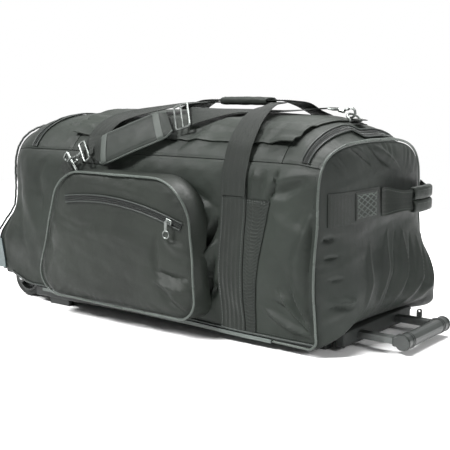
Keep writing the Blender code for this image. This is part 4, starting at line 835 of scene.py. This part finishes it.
for name, x, step in (("handle_end_zip_track", 0.3435, 0.0125), ("wheel_end_zip_track", -0.283, -0.02)):
    s = np.linspace(1.3, 2.49, 300)
    x = x + step * ease((s - 1.86) / 0.12)
    P, N = surface(x, s)
    zip_line(lambda u, h, x=x, s=s: lifted(x + u, s, 0.0016 + h), N, name[:-6] + "_tape", name)
xs = np.linspace(LID_X0 + 0.004, LID_X1 - 0.004, 240)
MAIN_ZIP_S = 1.59
zip_line(lambda u, h: lifted(xs, MAIN_ZIP_S + u * 9.0, 0.0012 + h), surface(xs, MAIN_ZIP_S)[1],
         "main_zip_tape", "main_zip_track", 0.0035, False)

# ---------------------------------------------------------------- front pocket
POCKET_CORNERS = ((-0.222, 0.04, 0.045), (0.167, 0.036, 0.034), (0.15, 0.272, 0.085), (-0.153, 0.272, 0.07))
POCKET_FACE_Y = -0.2165
POCKET_FOLD_GAIN = 1.3
POCKET_MID = np.array((-0.03, 0.15))
ZIP_R, ZIP_X, ZIP_Z = 0.55, -0.05, 0.229 - 0.55
POCKET_FOLDS = [  # lines of (x, z), depth, width
    ([(0.1, 0.178), (0.128, 0.16), (0.158, 0.15)], 0.0042, 0.008),
    ([(0.088, 0.176), (0.086, 0.14), (0.092, 0.112)], -0.004, 0.007),
    ([(0.086, 0.118), (0.12, 0.106), (0.16, 0.108)], -0.005, 0.006),
    ([(0.088, 0.098), (0.124, 0.088), (0.16, 0.086)], 0.0052, 0.0065),
    ([(0.094, 0.09), (0.116, 0.066), (0.15, 0.046)], -0.004, 0.006),
    ([(0.116, 0.084), (0.138, 0.066), (0.158, 0.054)], 0.0036, 0.006),
    ([(-0.184, 0.17), (-0.176, 0.12), (-0.196, 0.07)], -0.0026, 0.01),
    ([(-0.15, 0.186), (-0.11, 0.176), (-0.06, 0.178)], -0.0022, 0.009),
    ([(-0.12, 0.06), (-0.04, 0.054), (0.04, 0.058)], 0.0024, 0.014),
    ([(-0.06, 0.252), (0.01, 0.246), (0.07, 0.232)], 0.0016, 0.01),
]


def rounded_outline(corners, count):
    out = []
    n = len(corners)
    for i in range(n):
        before, here, after = (np.array(corners[k % n][:2]) for k in (i - 1, i, i + 1))
        a, b = unit(before - here), unit(after - here)
        half = math.acos(float(np.clip(a @ b, -1, 1))) / 2
        centre = here + unit(a + b) * corners[i][2] / math.sin(half)
        reach = corners[i][2] / math.tan(half)
        v0, v1 = here + a * reach - centre, here + b * reach - centre
        t0, t1 = math.atan2(v0[1], v0[0]), math.atan2(v1[1], v1[0])
        t1 = t0 + (t1 - t0 + math.pi) % (2 * math.pi) - math.pi
        turn = np.linspace(t0, t1, 24)
        out.append(centre + corners[i][2] * np.stack([np.cos(turn), np.sin(turn)], -1))
    out = np.concatenate(out + [out[0][:1]])
    run = run_along(out)
    even = np.linspace(0, run[-1], count, endpoint=False)
    return np.stack([np.interp(even, run, out[:, 0]), np.interp(even, run, out[:, 1])], -1)


pocket_outline = rounded_outline(POCKET_CORNERS, 220)
wall_s = np.linspace(0.0, 1.6, 400)
wall = place(np.zeros(400), wall_s)


def wall_y(z):
    return np.interp(z, wall[:, 2], wall[:, 1])


def pocket_y(X, Z, offset=0.0):
    """The pocket's outer face, standing off towards -Y."""
    X, Z = np.broadcast_arrays(np.asarray(X, float), np.asarray(Z, float))
    share = np.clip(share_of(pocket_outline, POCKET_MID, X, Z), 0.0, 1.0)
    rise = 0.0079 * (1.0 - share ** 9)
    above = np.hypot(X - ZIP_X, Z - ZIP_Z) - ZIP_R
    free = ease((np.abs(above) - 0.01) / 0.02)
    low_part = ease((-0.012 - above) / 0.05)
    folds = POCKET_FOLD_GAIN * creases(POCKET_FOLDS, X, Z)
    folds = folds + 0.0012 * ripple(X, Z, 0.09, 31) + 0.0004 * ripple(X, Z, 0.03, 32)
    around = np.arctan2(Z - POCKET_MID[1], X - POCKET_MID[0]) * 0.15
    folds = folds + 0.001 * gathers(around, (1.0 - share) * 0.13, 0.022, 33, 0.018)
    puff = 0.0075 * low_part * (1.0 - share ** 3)
    return POCKET_FACE_Y - (rise + puff + folds * free * ease((1.0 - share) / 0.06) + offset)


pocket_rows = []
for t in np.linspace(0.0, 1.0, 12):
    flat = POCKET_MID + (pocket_outline - POCKET_MID) * (1.035 - 0.035 * t)
    y0 = wall_y(flat[:, 1]) - 0.0014
    step = np.arange(220)
    sag = 0.0022 * math.sin(math.pi * t) * np.sin(step * 0.21 + 1.2 * np.sin(step * 0.07))
    outward = (flat - POCKET_MID) / np.linalg.norm(flat - POCKET_MID, axis=1, keepdims=True)
    x, z = (flat + outward * (sag + 0.002 * math.sin(math.pi * t))[:, None]).T
    pocket_rows.append(np.stack([x, y0 + (POCKET_FACE_Y - y0) * t, z], -1))
for share in np.concatenate([[0.993, 0.985], np.linspace(0.972, 0.02, 50)]):
    flat = POCKET_MID + (pocket_outline - POCKET_MID) * share
    pocket_rows.append(np.stack([flat[:, 0], pocket_y(flat[:, 0], flat[:, 1]), flat[:, 1]], -1))
pocket_outer = np.stack(pocket_rows)
middle = np.array((POCKET_MID[0], 0.0, POCKET_MID[1]))
inward = middle - pocket_outer
reach = np.linalg.norm(inward[..., ::2], axis=-1)
pull_in = unit(inward * (1, 0, 1)) * np.minimum(0.0022, 0.4 * reach)[..., None]
pull_in[1:, :, 1] += 0.0022
pocket_inner = pocket_outer + pull_in
uv = np.stack([pocket_outer[..., 0], pocket_outer[..., 2] + lengths(pocket_outer, 0) * 0.3], -1)
# The pocket takes the darker nylon, painted shade.
dress(capped_cover("pocket_puff", pocket_outer, pocket_inner, uv.reshape(-1, 2)), POCKET_CLOTH_PAINTED_SHADE, "nylon",
      "pocket_shell")
away = unit(pocket_outline - POCKET_MID) * 0.0016
wobble = 0.0008 * np.sin(np.arange(220) * 0.17) + 0.0005 * np.sin(np.arange(220) * 0.41)
x, z = (pocket_outline + away).T
pipe = np.stack([x, POCKET_FACE_Y - 0.0042 - wobble, z], -1)
dress(tube("pocket_piping_cord", pipe, 0.002, 12, closed=True), PIPE, "piping", "pocket_piping")
inset = POCKET_MID + (pocket_outline - POCKET_MID) * 0.955
inset = np.concatenate([inset, inset[:1]])
inset_path = np.stack([inset[:, 0], pocket_y(inset[:, 0], inset[:, 1], 0.0002), inset[:, 1]], -1)
stitches("bag", inset_path, OUTWARD_FRONT, 0.0042)


def pocket_arc(u, h):
    turn = np.linspace(math.asin((-0.133 - ZIP_X) / ZIP_R), math.asin((0.14 - ZIP_X) / ZIP_R), 160)
    x, z = ZIP_X + (ZIP_R + u) * np.sin(turn), ZIP_Z + (ZIP_R + u) * np.cos(turn)
    return np.stack([x, pocket_y(x, z, 0.001 + h), z], -1)


zip_line(pocket_arc, OUTWARD_FRONT, "pocket_zip_tape", "pocket_zip_track")

# ---------------------------------------------------------------- webbing sewn to the shell
WEB_LOW = 0.0008
WEB_THICKNESS = 0.0017
WEB_RIGHT_X, WEB_LEFT_X = 0.215, -0.118


for name, x, s0, s1 in (("front_web_right", WEB_RIGHT_X, 0.015, 1.273),
                        ("front_web_left", WEB_LEFT_X, 1.195, 1.273),
                        ("rear_web_right", WEB_RIGHT_X, 2.57, 3.985),
                        ("rear_web_left", WEB_LEFT_X, 2.57, 3.985)):
    xs = np.linspace(x - 0.025, x + 0.025, 15)
    ss = np.linspace(s0, s1, max(int((s1 - s0) * 90), 12))
    sewn = shell_piece(name + "_strip", xs, ss, WEB_LOW, WEB_LOW + WEB_THICKNESS, 0.0005)
    dress(sewn, WEBBING, "webbing", name)
    line = np.linspace(s0 + 0.01, s1 - 0.01, max(int((s1 - s0) * 120), 12))
    for u in (-0.0215, 0.0215):
        key = "bag_light" if "front" in name else "bag"
        topstitch(key, x + u, line, WEB_LOW + 0.0019, 0.0046)
for s in (1.045, 1.065):
    topstitch("bag_light", np.linspace(0.192, 0.238, 20), s, WEB_LOW + 0.0019, 0.0046)
ss = np.linspace(0.015, 1.038, 200)
across = np.linspace(0.0, 1.0, 12)
wide = 0.02 + 0.036 * (ss / SHOULDER_S) ** 1.6
X = 0.2416 + wide[None, :] * across[:, None]
S = np.broadcast_to(ss[None, :], X.shape)
P, N = surface(X, S)
inside = ease(1.0 - np.abs(across[:, None] - 0.5) * 2.0 + 0.15)
ribs = 0.0009 * np.clip(np.sin(lengths(P, 1) * 6.2832 / 0.0062), 0, 1) * inside
stand = relief(P, S)
low, high = P + N * (stand + WEB_LOW)[..., None], P + N * (stand + WEB_LOW + 0.001 + ribs)[..., None]
dress(panel("side_web_ladder", high, low), LADDER, "webbing", "side_web")
for k in (0.1, 0.9):
    topstitch("bag", 0.2416 + wide * k, ss, WEB_LOW + 0.0014, 0.0046)
for s in (1.018, 1.03):
    topstitch("bag_light", np.linspace(0.244, 0.278, 18), s, WEB_LOW + 0.0016, 0.0046)

# ---------------------------------------------------------------- carry handles
def route(items, thickness):
    """Path, normals and widths from (x, s, offset of the underside, width) or (point, normal, width)."""
    rows = []
    for item in items:
        if len(item) == 4:
            x, s, offset, width = item
            P, N = surface(np.array([x]), np.array([s]))
            stand = offset + thickness / 2 + relief(P, np.array([s]))[0]
            rows.append([*(P[0] + N[0] * stand), *N[0], width])
        else:
            rows.append([*item[0], *item[1], item[2]])
    path = smooth_path(rows, 0.003)
    return path[:, :3], unit(path[:, 3:6]), path[:, 6]


def edged_strap(name, items, thickness, look, slot, replaced, body, curl=0.0, stitch=None, inset=0.004,
                pitch=0.0046):
    p, n, w = route(items, thickness)
    obj, (p, side, up, w) = strap(name, p, n, w, thickness, curl=curl)
    dress(obj, look, slot, replaced, body=body)
    if stitch:
        for sign in (-1, 1):
            line = p + side * (sign * (w / 2 - inset))[:, None]
            stitches(stitch, line + up * (thickness / 2 + 0.0002 + curl * 0.5), up, pitch)
    return obj, p, side, up, w


def in_wrap(z):
    """The level part of a handle loop, inside the wrap."""
    return [((x, 0.0, z), Z_AXIS, 0.028) for x in (0.182, 0.15, 0.085, 0.05)]


squashed = []
front_loop = [(0.215, 1.055, 0.003, 0.05), (0.215, 1.17, 0.003, 0.05), (0.215, 1.29, 0.0036, 0.05),
              (0.2145, 1.4, 0.011, 0.049), (0.209, 1.56, 0.016, 0.044),
              (0.202, 1.7, 0.019, 0.038), ((0.2, -0.05, 0.3925), (-0.1, -0.35, 0.93), 0.032),
              ((0.192, -0.012, 0.3965), Z_AXIS, 0.029), *in_wrap(0.3965),
              ((0.04, -0.004, 0.396), Z_AXIS, 0.028),
              ((0.005, -0.035, 0.3935), (0, -0.1, 1), 0.032), (-0.035, 1.76, 0.0145, 0.038),
              (-0.078, 1.64, 0.013, 0.044),
              (-0.103, 1.54, 0.0125, 0.047), (-0.114, 1.42, 0.009, 0.049), (-0.118, 1.29, 0.003, 0.05)]
squashed.append(edged_strap("carry_handle_front", front_loop, 0.0019, WEBBING, "webbing",
                            "front_handle_loop", "bag",
                            0.001, "loop_front")[0])
rear_loop = [(0.215, 2.515, 0.0062, 0.05), (0.214, 2.42, 0.012, 0.048), (0.208, 2.3, 0.016, 0.042),
             ((0.202, 0.052, 0.393), (-0.1, 0.35, 0.93), 0.034), ((0.194, 0.014, 0.4), (0, 0.1, 1), 0.029),
             *in_wrap(0.401),
             ((0.038, 0.006, 0.4005), Z_AXIS, 0.028), ((0.0, 0.034, 0.397), (0, 0.1, 1), 0.032),
             (-0.05, 2.24, 0.015, 0.04), (-0.09, 2.33, 0.013, 0.045), (-0.111, 2.42, 0.011, 0.048),
             (-0.118, 2.515, 0.0062, 0.05)]
edged_strap("carry_handle_rear", rear_loop, 0.0019, WEBBING, "webbing", "rear_handle_loop", "lid", 0.0008,
            "lid")


def sleeve(name, centres, axis_u, axis_v, half_u, half_v, wall, power=3.2):
    """A padded sleeve: rings of a rounded box section round each centre, open at both ends, with a wall."""
    a = 2 * np.pi * np.arange(40) / 40
    cu, cv = blunt(np.cos(a), 2 / power), blunt(np.sin(a), 2 / power)
    rows = len(centres)
    end = np.minimum(np.arange(rows), np.arange(rows)[::-1]) / max(rows - 1, 1)
    puff = 1.0 + 0.05 * np.sin(np.pi * np.arange(rows) / (rows - 1)) - 0.1 * np.exp(-end / 0.025)
    lump = 0.0004 * ripple(a[None] * 0.02, np.arange(rows)[:, None] * 0.003, 0.02, 41)
    rings = []
    for shrink in (0.0, wall):
        hu, hv = (half_u - shrink) * puff[:, None] + lump, (half_v - shrink) * puff[:, None] + lump
        rings.append(centres[:, None] + axis_u * (hu * cu)[..., None] + axis_v * (hv * cv)[..., None])
    outer, inner = rings
    n = rows * 40
    faces = [*grid_faces(rows, 40, wrap=True), *grid_faces(rows, 40, n, wrap=True, flip=True)]
    for base in (0, (rows - 1) * 40):
        pairs = [(base + i, base + (i + 1) % 40) for i in range(40)]
        faces += [(i, j, n + j, n + i) for i, j in pairs]
    run = run_along(centres)
    uv = np.stack(np.broadcast_arrays((a * (half_u + half_v) / 3.2)[None, :], run[:, None]), -1)
    uv = np.concatenate([uv.reshape(-1, 2)] * 2)
    return finish_mesh(name, np.concatenate([outer.reshape(-1, 3), inner.reshape(-1, 3)]), faces, uv, 60.0)


wrap_x = np.linspace(0.066, 0.168, 40)
wrap_mid = np.stack([wrap_x, 0 * wrap_x, 0.3994 + 0.0007 * np.sin(np.pi * (wrap_x - 0.066) / 0.102)], -1)
wrap = dress(sleeve("handle_wrap_sleeve", wrap_mid, Y_AXIS, Z_AXIS, 0.0196, 0.0072, 0.0026), PAD_CLOTH,
             "padded_cover",
             "handle_wrap", body="lid")
for y in (-0.0145, -0.012):
    line = np.stack([wrap_x[3:-3], np.full(34, y), np.full(34, 0.407)], -1)
    stitches("lid", line, Z_AXIS, 0.0036)
for x in (0.0695, 0.1645):
    line = np.stack([np.full(20, x), np.linspace(-0.016, 0.016, 20), np.full(20, 0.4062)], -1)
    stitches("lid", line, Z_AXIS, 0.0036)

# ---------------------------------------------------------------- shoulder strap
LOW_FACE, MID_FACE, HIGH_FACE = (0.05, -0.87, 0.45), (0.03, -0.86, 0.49), (-0.02, -0.82, 0.57)
STRAP_WIDTH = 0.04
strap_front = [(-0.1215, 1.298, 0.0118, STRAP_WIDTH), (-0.107, 1.318, 0.0105, STRAP_WIDTH),
               ((-0.085, -0.1703, 0.306), LOW_FACE, STRAP_WIDTH),
               ((-0.065, -0.1682, 0.3126), LOW_FACE, STRAP_WIDTH),
               ((-0.0125, -0.1573, 0.3344), MID_FACE, STRAP_WIDTH),
               ((0.028, -0.1393, 0.3524), MID_FACE, STRAP_WIDTH),
               ((0.047, -0.1285, 0.3612), HIGH_FACE, STRAP_WIDTH)]
squashed.append(edged_strap("shoulder_strap_front", strap_front, 0.0017, WEBBING, "webbing", "strap_front",
                            "bag")[0])
strap_rear = [((0.0702, -0.1185, 0.3712), (0.15, -0.82, 0.55), STRAP_WIDTH),
              ((0.0885, -0.1118, 0.3768), (0.1, -0.72, 0.68), STRAP_WIDTH),
              (0.13, 1.76, 0.012, STRAP_WIDTH), (0.165, 1.86, 0.009, STRAP_WIDTH),
              (0.205, 1.96, 0.009, STRAP_WIDTH),
              (0.25, 2.05, 0.013, STRAP_WIDTH), (0.278, 2.065, 0.0165, STRAP_WIDTH)]
squashed.append(edged_strap("shoulder_strap_rear", strap_rear, 0.0017, WEBBING, "webbing", "strap_rear",
                            "bag")[0])
pad_line = [((-0.086, -0.1785, 0.3098), LOW_FACE, 0.048), ((-0.081, -0.178, 0.3115), LOW_FACE, 0.056),
            ((-0.065, -0.176, 0.317), LOW_FACE, 0.06), ((-0.0123, -0.1648, 0.3385), MID_FACE, 0.06),
            ((0.0282, -0.1468, 0.3565), MID_FACE, 0.06), ((0.039, -0.14, 0.3622), HIGH_FACE, 0.057),
            ((0.0436, -0.1365, 0.3645), HIGH_FACE, 0.048)]
p, n, w = route(pad_line, 0.01)
t = tangents(p)
side = unit(np.cross(n, t))
up = np.cross(t, side)
a = 2 * np.pi * np.arange(36) / 36
rows = len(p)
end = np.minimum(np.arange(rows), np.arange(rows)[::-1]) / (rows - 1)
plump = 0.35 + 0.65 * ease(end / 0.1)
quilt = 1.0 - 0.16 * np.exp(-((np.abs(np.cos(a)) - 0.8) / 0.05) ** 2)
rings = p[:, None] + side[:, None] * (w[:, None] / 2 * blunt(np.cos(a), 0.55))[..., None]
rings = rings + up[:, None] * (0.0052 * plump[:, None] * blunt(np.sin(a), 0.62) * quilt)[..., None]
run = run_along(p)
pad = dress(swept("shoulder_pad_cushion", rings, a * 0.018, run), PAD_CLOTH, "padded_cover", "shoulder_pad")
squashed.append(pad)
for sign in (-1, 1):
    edge = p + side * (sign * (w / 2 - 0.0002))[:, None]
    squashed.append(dress(tube("pad_binding_" + ("a" if sign < 0 else "b"), edge, 0.0021, 8), BINDING,
                          "padded_cover"))
    stitches("loop_front", p + side * (sign * (w / 2 - 0.0065))[:, None] + up * 0.0047 * plump[:, None], up,
             0.0036)
for label, share in (("low", 0.1), ("high", 0.86)):
    i = int(share * (rows - 1))
    u = np.linspace(-1, 1, 25)
    rise = 0.0062 * np.clip(np.cos(u * np.pi / 2), 0, 1) ** 0.25
    over = p[i] + side[i] * (u * (w[i] / 2 + 0.001))[:, None] + up[i] * rise[:, None]
    lean = np.broadcast_to(up[i], over.shape) + side[i] * (u ** 9)[:, None]
    band, _ = strap("pad_band_" + label, over, lean, 0.0125, 0.0012, 7)
    squashed.append(dress(band, BINDING, "padded_cover"))


def frame_axes(x, s, offset, heading):
    P, N = surface(np.array([x]), np.array([s]))
    ahead = place(np.array([x + heading[0] * 0.01]), np.array([s + heading[1] * 0.05]))[0] - P[0]
    z = Vector(N[0])
    ahead = Vector(ahead)
    x_axis = (ahead - z * ahead.dot(z)).normalized()
    m = Matrix((x_axis, z.cross(x_axis), z)).transposed().to_4x4()
    m.translation = Vector(P[0] + N[0] * offset)
    return m


def keeper(name, matrix, reach, width, replaced):
    r = 0.0037
    turns = [math.radians(90 + 15 * k) for k in range(13)]
    path = [(reach, 0, r), (reach * 0.6, 0, r), (reach * 0.3, 0, r),
            *[(r * math.cos(a), 0, r * math.sin(a)) for a in turns],
            (reach * 0.3, 0, -r), (reach * 0.6, 0, -r), (reach, 0, -r)]
    points = np.array([matrix @ Vector(q) for q in path])
    side_axis = np.array(matrix.to_3x3() @ Vector((0, 1, 0)))
    obj, _ = strap(name, points, np.cross(tangents(points), side_axis), width, 0.0017, 9)
    dress(obj, WEBBING, "webbing", replaced)
    for u in (0.35, 0.75):
        line = np.array([matrix @ Vector((reach * u, v, r + 0.001))
                         for v in np.linspace(-width * 0.4, width * 0.4, 9)])
        stitches("bag", line, matrix.to_3x3() @ Vector((0, 0, 1)), 0.003)


TAB_TILT = Matrix.Rotation(math.radians(4), 4, "Y")
keeper("ring_tab_fold", frame_axes(-0.169, 1.15, 0.0058, (-1.0, -0.68)) @ TAB_TILT, 0.014, 0.03, "ring_tab")
keeper("d_ring_tab_fold", frame_axes(0.3325, 2.065, 0.0058, (1.0, 0.0)) @ TAB_TILT, 0.015, 0.028,
       "d_ring_tab")
for name in ("strap_adjuster", "snap_hook_rear"):
    mesh = NODES[name].data.copy()
    mesh.materials.clear()
    squashed.append(dress(put(name + "_metal", mesh), DARK_METAL, "dark_metal", name))

# ---------------------------------------------------------------- handle-end webbing and grab handle
def end_layer(name, ys, zs, low, high, look, node_name=()):
    Y, Z = np.meshgrid(ys, zs, indexing="ij")
    d = edge_distance(np.stack([Y, Z, 0 * Y], -1))
    lip = -0.0005 * np.exp(-d / 0.002)
    return dress(panel(name, end_points(Y, Z, 1, high + lip), end_points(Y, Z, 1, low)), look, "webbing",
                 *node_name)


def end_stitch(key, ys, zs, offset, pitch=0.0042, **extra):
    line = end_points(ys, zs, 1, offset)
    stitches(key, line, X_AXIS, pitch, **extra)


end_layer("end_web_band", np.linspace(-0.16, -0.01, 60), np.linspace(0.209, 0.261, 22), 0.0004, 0.0022,
          WEBBING, ("end_web",))
end_layer("end_web_patch", np.linspace(-0.092, -0.022, 40), np.linspace(0.2125, 0.2575, 26), 0.0022, 0.0042,
          WEBBING)
for z in (0.2128, 0.2572):
    end_stitch("bag", np.linspace(-0.158, -0.012, 60), z, 0.0024)
for inset in (0.0035, 0.006):
    for y in (-0.092 + inset, -0.022 - inset):
        end_stitch("bag_light", y, np.linspace(0.2125 + inset, 0.2575 - inset, 30), 0.0045, 0.0036,
                   size=0.0006)
    for z in (0.2125 + inset, 0.2575 - inset):
        end_stitch("bag_light", np.linspace(-0.092 + inset, -0.022 - inset, 40), z, 0.0045, 0.0036,
                   size=0.0006)
for row in range(4):
    for column in range(3):
        y, z = -0.0775 + 0.0205 * column, 0.2205 + 0.0097 * row
        for sign in (-1, 1):
            u = np.linspace(-1, 1, 12)
            end_stitch("bag_light", y + 0.0085 * u, z + sign * 0.004 * u, 0.0048, 0.0022, size=0.001,
                       length=0.0024)
grab = []
for y, offset in ((-0.006, 0.0024), (0.008, 0.006), (0.03, 0.023), (0.06, 0.033), (0.095, 0.035),
                  (0.13, 0.029),
                  (0.15, 0.015), (0.158, 0.004)):
    grab.append((end_points(y, 0.235, 1, offset), (1, 0, 0), 0.048 if offset < 0.01 else 0.036))
edged_strap("grab_handle_strap", grab, 0.0018, WEBBING, "webbing", "grab_handle", "bag", 0.0012, "bag_light")
ys = np.linspace(0.05, 0.12, 30)
t = (ys - 0.052) / 0.066
mid = end_points(ys, 0.235, 1, 0.0312 + 0.0044 * np.sin(np.pi * np.clip(t * 0.8 + 0.1, 0, 1)))
for label, z, half in (("upper", 0.0112, 0.0108), ("lower", -0.0112, 0.0108)):
    part = dress(sleeve("grab_wrap_" + label, mid + Z_AXIS * z, X_AXIS, Z_AXIS, 0.007, half, 0.0022),
                 PAD_CLOTH, "padded_cover",
                 *(("grab_wrap",) if label == "upper" else ()))
    line = mid[3:-3] + Z_AXIS * (z + half * 0.45) + X_AXIS * 0.0072
    stitches("bag_light", line, X_AXIS, 0.0036)

# ---------------------------------------------------------------- threads, stage, light, camera
for key, obj in make_threads():
    if key.startswith("coil"):
        dress(obj, COIL, "zip_tape", body=key[5:])
    elif key.endswith("_light"):
        dress(obj, THREAD_LIGHT, "webbing", body=key[:-6])
    elif key == "loop_front":
        squashed.append(dress(obj, THREAD, "webbing"))
    else:
        dress(obj, THREAD, "webbing", body=key)
for obj in squashed:
    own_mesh(obj)

floor_mesh = bpy.data.meshes.new("floor")
floor_mesh.from_pydata([(-2.2, -2.4, 0), (2.4, -2.4, 0), (2.4, 1.6, 0), (-2.2, 1.6, 0)], [], [(0, 1, 2, 3)])
floor_look, _, floor_shader = graph("pale_floor", 0.9)
floor_shader.inputs["Base Color"].default_value = (0.95, 0.95, 0.95, 1.0)
floor_mesh.materials.append(floor_look)
put("floor", floor_mesh)

# a bright backdrop behind the bag, a dimmer room in front of it
world = bpy.data.worlds.new("studio")
bpy.context.scene.world = world
world.use_nodes = True
tree = world.node_tree
heading = node(tree, "ShaderNodeTexCoord").outputs["Generated"]
facing = node(tree, "ShaderNodeVectorMath", ((0, heading), (1, (-0.58, 0.81, 0.0))),
              operation="DOT_PRODUCT").outputs["Value"]
tree.links.new(ramp(tree, facing, 0.45, 0.75, 0.22, 1.0), tree.nodes["Background"].inputs["Strength"])
tree.nodes["Background"].inputs["Color"].default_value = (1.0, 1.0, 1.0, 1.0)


def aim(obj, at, target):
    obj.location = at
    obj.rotation_euler = (Vector(target) - Vector(at)).to_track_quat("-Z", "Y").to_euler()


def lamp(name, kind, at, target, size, energy):
    data = bpy.data.lights.new(name, kind)
    if kind == "AREA":
        data.shape = "DISK"
        data.size = size
    else:
        data.angle = size
    data.energy = energy
    aim(put(name, data), at, target)


lamp("key", "SUN", (-0.9, -1.5, 2.2), (0, 0, 0.15), 0.3, 5.5)
lamp("top", "AREA", (0.3, 0.7, 2.2), (0, 0, 0.2), 1.0, 70.0)
lamp("side", "AREA", (2.4, -0.3, 1.2), (0.3, 0, 0.2), 0.8, 22.0)

camera_data = bpy.data.cameras.new("camera")
camera_data.sensor_width = 36.0
camera_data.lens = 74.2
camera = put("camera", camera_data)
aim(camera, (1.0731, -1.3708, 0.43), (0.0176, 0.0233, 0.1646))
bpy.context.scene.camera = camera
bpy.context.scene.view_settings.view_transform = "Standard"
